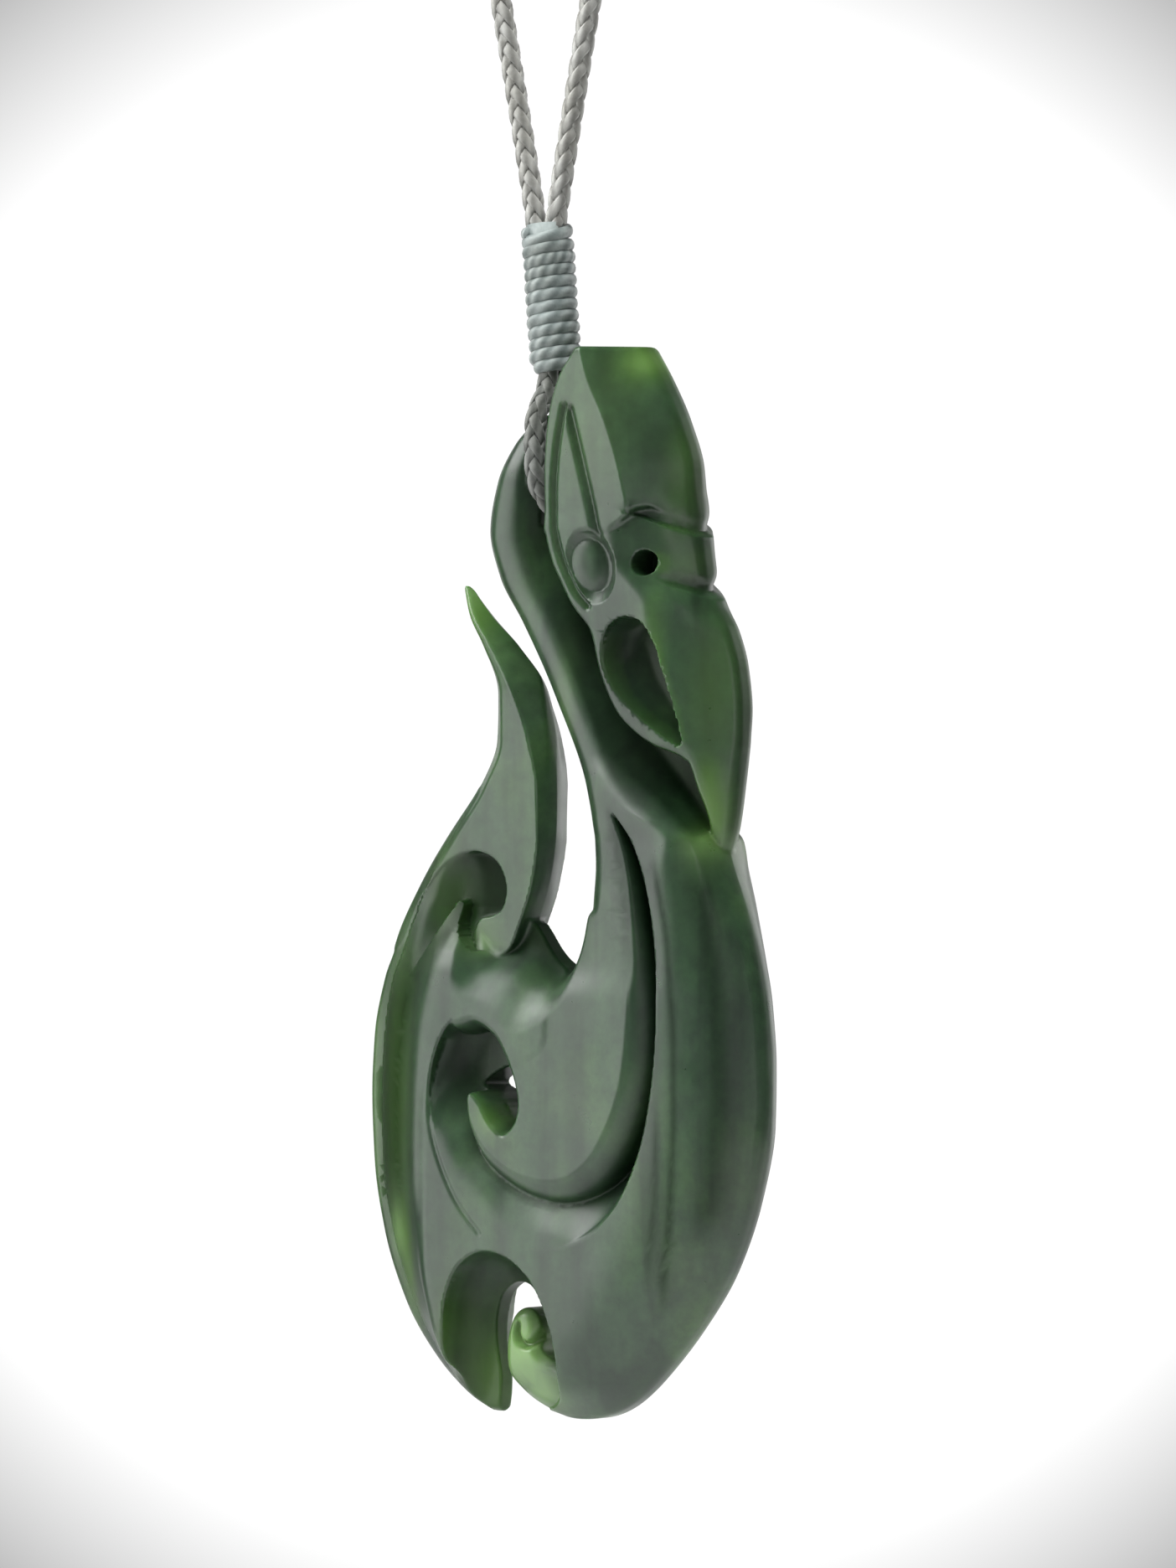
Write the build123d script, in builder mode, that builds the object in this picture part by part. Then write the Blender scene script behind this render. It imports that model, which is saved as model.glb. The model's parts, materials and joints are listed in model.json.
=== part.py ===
from build123d import *
import math
import os

os.makedirs("parts", exist_ok=True)

# The carved stone: overall width, height and thickness of the body in millimetres
stone_w = 43.0
stone_h = 89.4
stone_t = 9.7

# The plaited cord, the thread that whips it and the space left round them
cord_d = 1.9
thread_wall = 0.32
thread_pitch = 1.08
bind_turns = 12
fork_gap = 0.5
eye_gap = 0.5
slot_clear = 0.35

# The bar of the neck arch that the cord eye goes round
bar_r = 2.45
bar_rise = 4.2
bar_top_half = 0.55
bar_root = 1.0
bar_tip = 1.8
eye_clear = 0.15
lash_lean = 4.9
eye_drop = 8.0

# Carved depths, measured from the middle plane of the stone, and half thicknesses of its flat pieces
bowl_floor = 1.4
scoop_edge = 0.9
scoop_bend = 3.2
mouth_floor = 0.8
eye_floor = 3.9
hole_floor = 1.4
bridge_half = 4.6
hook_half = 1.7
curl_half = 1.7
web_half = 0.75

# Widths of the small carved details
eye_size = (4.6, 5.6)
eye_ring = 0.45
eye_lean = 18.0
hole_d = 2.1

# How far the mouth's floor and the bend in the saddle are drawn in from their edges, as shares
mouth_slope = 0.55
saddle_bend = 0.4

# Where the middle of the bar lies in the stone, as shares of its width and height
bar_share = (0.480, 0.111)

# Sections of the stone at one height each, as shares of its height, width and half thickness.
# Columns: height from the top, then across and depth of the left edge, the crest, the shoulder and the
# right edge.
trunk_rows = [
    (0.063, 0.421, 0.10, 0.444, 0.21, 0.460, 0.19, 0.474, 0.10),
    (0.087, 0.372, 0.16, 0.419, 0.45, 0.447, 0.41, 0.470, 0.16),
    (0.122, 0.333, 0.21, 0.409, 0.74, 0.437, 0.66, 0.463, 0.21),
    (0.167, 0.314, 0.21, 0.416, 0.85, 0.442, 0.70, 0.467, 0.16),
    (0.212, 0.340, 0.21, 0.435, 0.87, 0.465, 0.66, 0.507, 0.14),
    (0.254, 0.398, 0.21, 0.484, 0.89, 0.521, 0.62, 0.565, 0.14),
    (0.299, 0.453, 0.21, 0.549, 0.91, 0.584, 0.62, 0.612, 0.14),
    (0.344, 0.502, 0.21, 0.614, 0.93, 0.640, 0.64, 0.674, 0.14),
    (0.389, 0.549, 0.23, 0.702, 0.95, 0.726, 0.68, 0.767, 0.14),
    (0.426, 0.577, 0.29, 0.763, 0.95, 0.795, 0.70, 0.837, 0.16),
    (0.463, 0.598, 0.37, 0.814, 0.95, 0.867, 0.70, 0.893, 0.19),
    (0.489, 0.605, 0.43, 0.823, 0.97, 0.893, 0.66, 0.916, 0.19),
    (0.523, 0.605, 0.49, 0.830, 0.97, 0.912, 0.66, 0.944, 0.19),
    (0.568, 0.560, 0.62, 0.837, 0.98, 0.928, 0.68, 0.972, 0.19),
    (0.590, 0.488, 0.87, 0.840, 0.99, 0.935, 0.69, 0.981, 0.19),
    (0.612, 0.358, 0.98, 0.844, 0.99, 0.942, 0.70, 0.991, 0.19),
    (0.668, 0.265, 0.98, 0.844, 0.99, 0.947, 0.72, 1.000, 0.19),
    (0.724, 0.219, 0.98, 0.835, 0.99, 0.942, 0.72, 0.998, 0.19),
    (0.791, 0.219, 0.98, 0.788, 0.99, 0.907, 0.72, 0.967, 0.19),
    (0.859, 0.219, 0.98, 0.719, 0.99, 0.844, 0.70, 0.909, 0.19),
    (0.914, 0.242, 0.97, 0.649, 0.95, 0.758, 0.68, 0.826, 0.19),
    (0.965, 0.274, 0.74, 0.579, 0.82, 0.660, 0.60, 0.726, 0.19),
    (0.999, 0.451, 0.25, 0.544, 0.33, 0.602, 0.27, 0.640, 0.16),
]
left_rows = [
    (0.411, 0.274, 0.14, 0.288, 0.16, 0.335, 0.16, 0.381, 0.14),
    (0.478, 0.160, 0.16, 0.191, 0.21, 0.265, 0.21, 0.358, 0.14),
    (0.512, 0.114, 0.19, 0.149, 0.23, 0.242, 0.23, 0.335, 0.16),
    (0.545, 0.074, 0.19, 0.114, 0.25, 0.247, 0.45, 0.312, 0.29),
    (0.568, 0.056, 0.19, 0.093, 0.27, 0.274, 0.74, 0.335, 0.54),
    (0.590, 0.035, 0.19, 0.074, 0.29, 0.267, 0.93, 0.358, 0.82),
    (0.646, 0.007, 0.19, 0.047, 0.31, 0.228, 0.99, 0.312, 0.98),
    (0.702, 0.000, 0.19, 0.040, 0.31, 0.207, 0.99, 0.300, 0.98),
    (0.769, 0.007, 0.19, 0.047, 0.31, 0.193, 0.99, 0.288, 0.98),
    (0.836, 0.035, 0.19, 0.072, 0.31, 0.212, 0.99, 0.288, 0.98),
    (0.903, 0.093, 0.19, 0.128, 0.31, 0.240, 0.97, 0.307, 0.95),
    (0.954, 0.170, 0.19, 0.198, 0.29, 0.272, 0.70, 0.330, 0.25),
    (0.987, 0.251, 0.16, 0.272, 0.23, 0.302, 0.29, 0.344, 0.19),
    (1.000, 0.302, 0.12, 0.312, 0.14, 0.326, 0.16, 0.344, 0.12),
]
tusk_rows = [
    (0.220, 0.228, 0.04, 0.233, 0.06, 0.237, 0.06, 0.242, 0.04),
    (0.249, 0.249, 0.06, 0.265, 0.25, 0.279, 0.27, 0.295, 0.06),
    (0.277, 0.286, 0.08, 0.309, 0.35, 0.330, 0.39, 0.360, 0.08),
    (0.322, 0.323, 0.10, 0.358, 0.41, 0.395, 0.47, 0.437, 0.08),
    (0.366, 0.321, 0.10, 0.360, 0.41, 0.435, 0.47, 0.460, 0.08),
    (0.411, 0.274, 0.10, 0.316, 0.39, 0.453, 0.43, 0.465, 0.08),
    (0.456, 0.200, 0.12, 0.242, 0.37, 0.453, 0.41, 0.463, 0.08),
    (0.467, 0.181, 0.12, 0.221, 0.36, 0.450, 0.41, 0.459, 0.08),
]
crown_rows = [
    (0.000, 0.602, 0.93, 0.619, 1.03, 0.663, 0.62, 0.700, 0.21),
    (0.031, 0.560, 0.91, 0.642, 1.05, 0.698, 0.64, 0.744, 0.21),
    (0.070, 0.540, 0.91, 0.688, 1.09, 0.740, 0.66, 0.788, 0.21),
    (0.115, 0.531, 0.91, 0.726, 1.11, 0.774, 0.66, 0.821, 0.21),
    (0.172, 0.531, 0.91, 0.753, 1.07, 0.793, 0.66, 0.828, 0.21),
]
face_rows = [
    (0.143, 0.540, 0.82, 0.691, 0.95, 0.786, 0.60, 0.819, 0.16),
    (0.169, 0.533, 0.90, 0.695, 1.02, 0.798, 0.66, 0.840, 0.21),
    (0.204, 0.551, 0.89, 0.702, 0.97, 0.800, 0.66, 0.851, 0.21),
    (0.238, 0.600, 0.87, 0.723, 0.91, 0.816, 0.70, 0.870, 0.21),
    (0.266, 0.644, 0.80, 0.758, 0.82, 0.849, 0.74, 0.909, 0.21),
    (0.299, 0.651, 0.78, 0.786, 0.80, 0.872, 0.74, 0.933, 0.21),
    (0.338, 0.691, 0.74, 0.823, 0.76, 0.891, 0.68, 0.942, 0.21),
    (0.378, 0.772, 0.64, 0.853, 0.64, 0.900, 0.56, 0.937, 0.19),
    (0.422, 0.870, 0.45, 0.884, 0.45, 0.900, 0.39, 0.926, 0.16),
    (0.483, 0.865, 0.21, 0.872, 0.23, 0.881, 0.21, 0.888, 0.14),
]

# Outlines of the carving seen from the front, as shares of the stone's width and height
bowl_rim = [(0.684, 0.417), (0.781, 0.518), (0.805, 0.635), (0.760, 0.751), (0.635, 0.831), (0.486, 0.851),
            (0.323, 0.807), (0.226, 0.712), (0.291, 0.626)]
bowl_top = [(0.291, 0.626), (0.344, 0.621), (0.435, 0.658), (0.458, 0.709), (0.416, 0.739), (0.367, 0.718),
            (0.335, 0.699)]
koru_edge = [(0.335, 0.699), (0.367, 0.746), (0.486, 0.779), (0.635, 0.769), (0.728, 0.682), (0.742, 0.619),
             (0.714, 0.512), (0.684, 0.417)]
pierce_edge = [(0.349, 0.683), (0.391, 0.673), (0.428, 0.682), (0.440, 0.704), (0.421, 0.722),
               (0.384, 0.720), (0.360, 0.702)]
bridge_outline = [(0.581, 0.555), (0.540, 0.579), (0.493, 0.589), (0.442, 0.574), (0.405, 0.552),
                  (0.358, 0.541), (0.302, 0.561), (0.279, 0.595), (0.274, 0.657), (0.405, 0.663),
                  (0.544, 0.629)]
saddle_crest = [(0.284, 0.570), (0.274, 0.597), (0.328, 0.618), (0.393, 0.629), (0.447, 0.643),
                (0.521, 0.631), (0.586, 0.607), (0.621, 0.582), (0.637, 0.551), (0.602, 0.512),
                (0.358, 0.512)]
saddle_gap = [(0.372, 0.545), (0.391, 0.559), (0.419, 0.572), (0.442, 0.582), (0.477, 0.592), (0.502, 0.592),
              (0.530, 0.587), (0.553, 0.578), (0.574, 0.563), (0.574, 0.523), (0.391, 0.523)]
notch_rim = [(0.263, 1.026), (0.258, 0.924), (0.270, 0.889), (0.302, 0.861), (0.360, 0.846), (0.426, 0.851),
             (0.491, 0.873), (0.533, 0.911), (0.547, 0.950), (0.530, 1.026)]
notch_floor = [(0.321, 1.026), (0.307, 0.937), (0.309, 0.908), (0.330, 0.888), (0.367, 0.879),
               (0.414, 0.879), (0.451, 0.888), (0.481, 0.912), (0.498, 0.944), (0.491, 1.026)]
notch_gap = [(0.344, 1.026), (0.337, 0.965), (0.328, 0.933), (0.333, 0.910), (0.351, 0.895), (0.388, 0.886),
             (0.423, 0.889), (0.453, 0.908), (0.460, 0.931), (0.444, 0.939), (0.434, 0.918), (0.423, 0.904),
             (0.393, 0.900), (0.367, 0.905), (0.356, 0.921), (0.363, 0.942), (0.388, 0.965), (0.433, 0.982),
             (0.488, 0.995), (0.521, 1.026)]
mouth_edge = [(0.679, 0.281), (0.712, 0.270), (0.756, 0.272), (0.795, 0.288), (0.823, 0.309), (0.840, 0.333),
              (0.849, 0.357), (0.837, 0.373), (0.807, 0.376), (0.767, 0.367), (0.728, 0.352), (0.695, 0.328),
              (0.677, 0.304)]
hook_outline = [(0.233, 0.463), (0.219, 0.479), (0.256, 0.476), (0.302, 0.475), (0.342, 0.479),
                (0.363, 0.493), (0.370, 0.508), (0.358, 0.525), (0.333, 0.532), (0.300, 0.535),
                (0.288, 0.548), (0.307, 0.561), (0.344, 0.569), (0.377, 0.564), (0.405, 0.548),
                (0.430, 0.523), (0.447, 0.489), (0.449, 0.460)]
web_outline = [(0.474, 0.165), (0.470, 0.199), (0.521, 0.232), (0.558, 0.266), (0.605, 0.310),
               (0.660, 0.355), (0.753, 0.400), (0.847, 0.445), (0.898, 0.465), (0.902, 0.433),
               (0.823, 0.378), (0.730, 0.322), (0.684, 0.277), (0.649, 0.232), (0.579, 0.187),
               (0.558, 0.165)]
curl_outline = [(0.349, 0.919), (0.363, 0.901), (0.395, 0.895), (0.430, 0.901), (0.442, 0.917),
                (0.447, 0.939), (0.512, 0.937), (0.544, 0.970), (0.540, 0.995), (0.463, 0.993),
                (0.405, 0.977), (0.367, 0.955)]

# Middles of the eye and of the small hole
eye_centre = (0.647, 0.207)
hole_centre = (0.759, 0.202)

# The neck cord's route on one side, across from the middle and up from the fork above the binding
neck_route = [(1.0, 0.0), (10.6, 44.0), (21.9, 97.8), (32.9, 151.7), (42.4, 200.8), (48.3, 234.3),
              (45.5, 254.1), (36.6, 270.9), (22.3, 283.4), (6.3, 289.2)]

# Sizes that follow from the ones above
half_t = stone_t / 2
eye_r = bar_r + eye_clear + cord_d / 2
slot_half = cord_d / 2 + slot_clear
bind_len = bind_turns * thread_pitch
bind_r = cord_d + thread_wall
fork_z = cord_d / 2 - neck_route[-1][1]
lash = math.radians(lash_lean)
lash_len = eye_drop + bind_len + fork_gap
bar_x = lash_len * math.sin(lash)
bar_z = fork_z - lash_len * math.cos(lash)
left_x = bar_x - bar_share[0] * stone_w
top_z = bar_z + bar_share[1] * stone_h
past_stone = stone_t


def across(share):
    return left_x + share * stone_w


def height(share):
    return top_z - share * stone_h


def place(share):
    return (across(share[0]), height(share[1]))


def limb_section(row):
    """One section of a limb: the front from left edge to right edge, then the back, which mirrors it."""
    front = [(across(row[i]), -row[i + 1] * half_t) for i in (1, 3, 5, 7)]
    back = [(x, -y) for x, y in reversed(front)]
    return front + back


def middle_of(outline):
    return [tuple(sum(p[i] for p in outline) / len(outline) for i in (0, 1))] * len(outline)


def between(first, second, share):
    """The outline that lies this share of the way from the first outline to the second, corner by corner."""
    return [tuple(a[i] + share * (b[i] - a[i]) for i in (0, 1)) for a, b in zip(first, second)]


def corner_radii(points):
    """The arc at each corner of a route: 0.45 of the shorter run over the tangent of half the turn."""
    radii = []
    for a, b, c in zip(points, points[1:], points[2:]):
        first = Vector(*b) - Vector(*a)
        second = Vector(*c) - Vector(*b)
        half_turn = math.radians(first.get_angle(second)) / 2
        radii.append(0.45 * min(first.length, second.length) / math.tan(half_turn))
    return radii


# The body of the stone before it's carved: the trunk, the left limb and the saddle that joins them
with BuildPart() as body:
    for rows in (trunk_rows, left_rows):
        for row in rows:
            with BuildSketch(Plane.XY.offset(height(row[0]))):
                Polygon(*limb_section(row), align=None)
        loft(ruled=True)
    with BuildSketch(Plane.XZ):
        Polygon(*[place(p) for p in bridge_outline], align=None)
    extrude(amount=bridge_half, both=True)

# The hollows of the body's front face: the bowl round the koru, the saddle and the notch at the foot
with BuildPart() as hollows:
    with BuildSketch(Plane.XZ.offset(bowl_floor)):
        with BuildLine():
            Spline(*[place(p) for p in bowl_rim])
            Spline(*[place(p) for p in bowl_top])
            Spline(*[place(p) for p in koru_edge])
        make_face()
    extrude(amount=past_stone)
    for steps in (
        ((scoop_edge, saddle_gap), (scoop_bend, between(saddle_gap, saddle_crest, saddle_bend)),
         (half_t, saddle_crest)),
        ((scoop_edge, notch_floor), (half_t, notch_rim)),
    ):
        for depth, outline in steps:
            with BuildSketch(Plane.XZ.offset(depth)):
                Polygon(*[place(p) for p in outline], align=None)
        loft(ruled=True)

# What stands in and beside the hollows: the horn and its hook, the curl, the head and the web behind it
with BuildPart() as relief:
    for rows in (tusk_rows, crown_rows, face_rows):
        for row in rows:
            with BuildSketch(Plane.XY.offset(height(row[0]))):
                Polygon(*limb_section(row), align=None)
        loft(ruled=True)
    for outline, half in ((hook_outline, hook_half), (curl_outline, curl_half), (web_outline, web_half)):
        with BuildSketch(Plane.XZ):
            Polygon(*[place(p) for p in outline], align=None)
        extrude(amount=half, both=True)

# What is cut into the front of the head: the mouth, the ring round the eye and the small hole
with BuildPart() as face_cuts:
    for depth, outline in ((mouth_floor, between(middle_of(mouth_edge), mouth_edge, mouth_slope)),
                           (half_t, mouth_edge)):
        with BuildSketch(Plane.XZ.offset(depth)):
            Polygon(*[place(p) for p in outline], align=None)
    loft(ruled=True)
    with BuildSketch(Plane.XZ.offset(eye_floor)):
        with Locations(place(eye_centre)):
            Ellipse(eye_size[0] / 2 + eye_ring, eye_size[1] / 2 + eye_ring, rotation=eye_lean)
            Ellipse(eye_size[0] / 2, eye_size[1] / 2, rotation=eye_lean, mode=Mode.SUBTRACT)
    extrude(amount=past_stone)
    with BuildSketch(Plane.XZ.offset(hole_floor)):
        with Locations(place(hole_centre)):
            Circle(hole_d / 2)
    extrude(amount=past_stone)

# The stone: the body with its hollows, what stands in them and the cuts of the head, alike on both faces,
# then the gaps cut right through, the slot for the cord and the bar across that slot
with BuildPart() as pendant:
    add(body.part)
    add(hollows.part, mode=Mode.SUBTRACT)
    add(hollows.part.mirror(Plane.XZ), mode=Mode.SUBTRACT)
    add(relief.part)
    add(face_cuts.part, mode=Mode.SUBTRACT)
    add(face_cuts.part.mirror(Plane.XZ), mode=Mode.SUBTRACT)
    with BuildSketch(Plane.XZ):
        Polygon(*[place(p) for p in notch_gap], align=None)
        Polygon(*[place(p) for p in pierce_edge], align=None)
    extrude(amount=past_stone, both=True, mode=Mode.SUBTRACT)
    with BuildSketch(Plane.XZ):
        with Locations((bar_x, bar_z - eye_r - cord_d / 2 - slot_clear)):
            Rectangle(2 * slot_half, stone_h, align=(Align.CENTER, Align.MIN))
    extrude(amount=past_stone, both=True, mode=Mode.SUBTRACT)
    with BuildSketch(Plane.YZ.offset(bar_x - slot_half - bar_root)):
        with BuildLine():
            ThreePointArc((-bar_r, bar_z), (0, bar_z - bar_r), (bar_r, bar_z))
            Polyline((bar_r, bar_z), (bar_top_half, bar_z + bar_rise), (-bar_top_half, bar_z + bar_rise),
                     (-bar_r, bar_z))
        make_face()
    extrude(amount=2 * slot_half + bar_root + bar_tip)
pendant.part.label = "pendant"
export_step(pendant.part, "parts/pendant.step")

# The cord eye: down the front from the binding, round the bar and up the back
eye_side = [(-1.0, eye_drop - eye_gap), (-1.7, 0.76 * eye_drop), (-0.87 * eye_r, 0.55 * eye_drop),
            (-eye_r, 0.21 * eye_drop)]
eye_under = [(-eye_r, -eye_r * math.tan(math.pi / 8)), (-eye_r * math.tan(math.pi / 8), -eye_r)]
eye_route = eye_side + eye_under
eye_route += [(-y, z) for y, z in reversed(eye_route)]
lash_plane = Plane(origin=(bar_x, 0, bar_z), x_dir=(0, 1, 0), z_dir=(math.cos(lash), 0, math.sin(lash)))
with BuildPart() as cord_eye:
    with BuildLine(lash_plane) as eye_line:
        FilletPolyline(*eye_route, radius=corner_radii(eye_route))
    with BuildSketch(Plane(origin=eye_line.line @ 0, z_dir=eye_line.line % 0)):
        Circle(cord_d / 2)
    sweep(path=eye_line.line)
cord_eye.part.label = "cord_eye"
export_step(cord_eye.part, "parts/cord_eye.step")

# The binding: a ribbed barrel, one rib to each turn of the thread
bind_plane = Plane(origin=(bar_x, 0, bar_z), x_dir=(math.cos(lash), 0, math.sin(lash)), z_dir=(0, -1, 0))
with BuildPart() as binding:
    with BuildSketch(bind_plane):
        with BuildLine():
            edge = [(bind_r, eye_drop + thread_pitch * i) for i in range(bind_turns + 1)]
            for low, high in zip(edge, edge[1:]):
                middle = (bind_r + thread_wall / 2, (low[1] + high[1]) / 2)
                ThreePointArc(low, middle, high)
            Polyline(edge[-1], (0, edge[-1][1]), (0, edge[0][1]), edge[0])
        make_face()
    revolve(axis=Axis((bar_x, 0, bar_z), (-math.sin(lash), 0, math.cos(lash))))
binding.part.label = "binding"
export_step(binding.part, "parts/binding.step")

# The neck cord: a whole loop, up one side from the fork, over the top and down the other side
loop_route = [(x, fork_z + z) for x, z in neck_route]
loop_route += [(-x, z) for x, z in reversed(loop_route)]
loop_radii = corner_radii(loop_route)
with BuildPart() as neck_cord:
    with BuildLine(Plane.XZ) as loop_line:
        FilletPolyline(*loop_route, radius=loop_radii)
    with BuildSketch(Plane(origin=loop_line.line @ 0, z_dir=loop_line.line % 0)):
        Circle(cord_d / 2)
    sweep(path=loop_line.line)
neck_cord.part.label = "neck_cord"
export_step(neck_cord.part, "parts/neck_cord.step")

print("loop radii", [round(r, 1) for r in loop_radii])
print("eye radii", [round(r, 1) for r in corner_radii(eye_route)])
cord_area = math.pi * cord_d ** 2 / 4
loop_length = loop_line.wire().length
eye_length = eye_line.wire().length
print("loop length", round(loop_length, 1), "volume share",
      round(neck_cord.part.volume / (cord_area * loop_length), 4))
print("eye length", round(eye_length, 1), "volume share",
      round(cord_eye.part.volume / (cord_area * eye_length), 4))
print("stone volume", round(pendant.part.volume, 1), "solids", len(pendant.part.solids()))
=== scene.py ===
import json
import math

import bpy
import numpy as np
from mathutils import Matrix, Vector


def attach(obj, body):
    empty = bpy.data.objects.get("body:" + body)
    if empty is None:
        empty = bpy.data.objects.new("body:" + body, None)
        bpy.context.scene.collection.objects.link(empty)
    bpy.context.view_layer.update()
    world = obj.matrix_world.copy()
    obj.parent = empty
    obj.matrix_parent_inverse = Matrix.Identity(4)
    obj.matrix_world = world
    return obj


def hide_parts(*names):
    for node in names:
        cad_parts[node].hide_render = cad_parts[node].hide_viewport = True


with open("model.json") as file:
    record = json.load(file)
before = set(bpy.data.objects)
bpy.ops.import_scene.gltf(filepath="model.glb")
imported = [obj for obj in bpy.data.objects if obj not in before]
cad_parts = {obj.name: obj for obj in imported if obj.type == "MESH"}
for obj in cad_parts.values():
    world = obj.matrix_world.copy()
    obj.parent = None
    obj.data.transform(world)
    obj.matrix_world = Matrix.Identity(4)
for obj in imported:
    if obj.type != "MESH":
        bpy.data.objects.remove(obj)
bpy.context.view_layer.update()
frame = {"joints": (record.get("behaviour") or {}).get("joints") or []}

MM = 0.001
# The photograph's height and scale in pixels. The camera's aim is this far to the right of the bar and below it.
IMAGE_H = 1872
PX_PER_MM = 14.2
CAMERA_AZIMUTH = 40.0
CAMERA_DISTANCE = 650.0
SENSOR = 36.0
AIM_RIGHT, AIM_DOWN = 2.12, 26.5
VIEW_TURN = math.radians(CAMERA_AZIMUTH)
VIEW_RIGHT = Vector((math.cos(VIEW_TURN), math.sin(VIEW_TURN), 0))
VIEW_BACK = Vector((math.sin(VIEW_TURN), -math.cos(VIEW_TURN), 0))

swing = next(j for j in frame["joints"] if j["name"] == "pendant_swing")
BAR = Vector(swing["pos_m"]) / MM

# The stone's own frame in millimetres: x to the right and z up as seen from the front, with the bar's middle here
BAR_X, BAR_Z = -0.74, 2.85
# Spacing of the maps that shape the stone, and how many of their steps the lattice of its surface takes at once
MAP_STEP = 0.11
LATTICE = 2
MARGIN = 1.2
LOW_X, HIGH_X, LOW_Z, HIGH_Z, HIGH_Y = -21.5, 21.8, -76.8, 12.8, 5.5
TRIANGLES = 190000


def make_camera():
    up = Vector((0, 0, 1))
    aim = BAR + VIEW_RIGHT * AIM_RIGHT - up * AIM_DOWN
    data = bpy.data.cameras.new("camera")
    data.sensor_fit = "VERTICAL"
    data.sensor_height = SENSOR
    data.lens = SENSOR * CAMERA_DISTANCE / (IMAGE_H / PX_PER_MM)
    data.clip_end = 10
    camera = bpy.data.objects.new("camera", data)
    axes = Matrix((VIEW_RIGHT, up, VIEW_BACK)).transposed().to_4x4()
    camera.matrix_world = Matrix.Translation((aim + VIEW_BACK * CAMERA_DISTANCE) * MM) @ axes
    bpy.context.scene.collection.objects.link(camera)
    bpy.context.scene.camera = camera


make_camera()

# Limbs of the stone, a row for each height: the height, then across and depth of each corner of the front,
# from the left edge to the right edge. LEFT, TUSK, CROWN and FACE have a left edge, crest, shoulder and right edge.
TRUNK = [
    (7.1, -3.3, 0.5, -2.9, 0.9, -2, 1.1, -1.5, 0.9, -1, 0.5),
    (5, -5.4, 0.8, -4.7, 1.6, -3.2, 2, -2.1, 1.7, -1.2, 0.8),
    (1.8, -7.1, 1, -6.1, 2.2, -4.2, 2.7, -2.6, 2.1, -1.5, 1),
    (-2.2, -7.9, 1, -6.7, 2.45, -4.3, 2.85, -2.5, 2.1, -1.3, 0.8),
    (-6.2, -6.8, 1, -5.4, 2.65, -3, 3.05, -0.9, 2.2, 0.4, 0.7),
    (-10, -4.3, 1, -2.8, 2.8, -0.3, 3.2, 1.7, 2.2, 2.9, 0.7),
    (-14, -1.9, 1, -0.3, 2.9, 2.1, 3.3, 4, 2.2, 5.4, 0.7),
    (-18, 0.2, 1, 1.8, 2.95, 4.2, 3.35, 6.4, 2.1, 7.9, 0.7),
    (-21.1, 1.8, 1.1, 3.5, 3.15, 5.7, 3.55, 8.7, 2.3, 10.8, 0.7),
    (-23.2, 2.7, 1.2, 4.6, 3.5, 7.4, 4, 10.8, 2.6, 12.8, 0.75),
    (-25.3, 3.4, 1.4, 5.4, 3.8, 9.8, 4.4, 12.8, 3.3, 14.6, 0.8),
    (-26.9, 3.9, 1.6, 5.7, 3.8, 12.8, 4.6, 14.6, 3.5, 15.9, 0.85),
    (-28.4, 4.3, 1.8, 5.9, 3.7, 14.6, 4.6, 16.2, 3.4, 17, 0.9),
    (-31, 4.6, 2.1, 5.8, 3.5, 14, 4.7, 17, 3.2, 18, 0.9),
    (-34, 4.6, 2.4, 5.6, 3.6, 14.3, 4.7, 17.8, 3.2, 19.2, 0.9),
    (-38, -14, 1.3, -6, 2.6, 14.6, 4.75, 18.5, 3.3, 20.4, 0.9),
    (-42, -14, 3.4, -8, 4.4, 14.9, 4.8, 19.1, 3.4, 21.2, 0.9),
    (-47, -12.8, 3.2, -11.5, 4.75, 14.9, 4.8, 19.3, 3.5, 21.6, 0.9),
    (-52, -13.8, 3.2, -12.5, 4.75, 14.5, 4.8, 19.1, 3.5, 21.5, 0.9),
    (-58, -13.8, 3.2, -12.5, 4.75, 12.5, 4.8, 17.6, 3.5, 20.2, 0.9),
    (-64, -13.8, 3.2, -12.5, 4.75, 9.5, 4.8, 14.9, 3.4, 17.7, 0.9),
    (-69, -12.8, 3.2, -11.5, 4.7, 6.5, 4.6, 11.2, 3.3, 14.1, 0.9),
    (-73.5, -11.2, 2.2, -10, 3.7, 3.5, 4, 7, 2.9, 9.8, 0.9),
    (-76.6, -3.2, 0.2, -2.4, 1.2, 2, 1.6, 4.5, 1.3, 6.1, 0.8),
]
TRUNK_LEFT = [
    (-2.2, 7.4), (-3.6, 6.9), (-5.4, 5), (-7.1, 1.8), (-7.9, -2.2), (-6.8, -6.2), (-4.3, -10), (-1.9, -14),
    (0.2, -18), (2.2, -22), (3.4, -25.3), (4.3, -28.6), (4.7, -31.5), (4.5, -34.3), (3.6, -36.9), (2.4, -38.8),
    (0.9, -39.8), (-0.8, -38.3), (-2.5, -36), (-4, -34.4), (-6.5, -34), (-9.5, -36), (-12, -42), (-14, -50),
    (-14, -58), (-13, -66), (-11, -72), (-8, -75.4),
]
TRUNK_FOOT = [(-3.2, -75.2), (-1.4, -76.1), (1.2, -76.8), (4.4, -76.6), (7, -75.6)]
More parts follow.
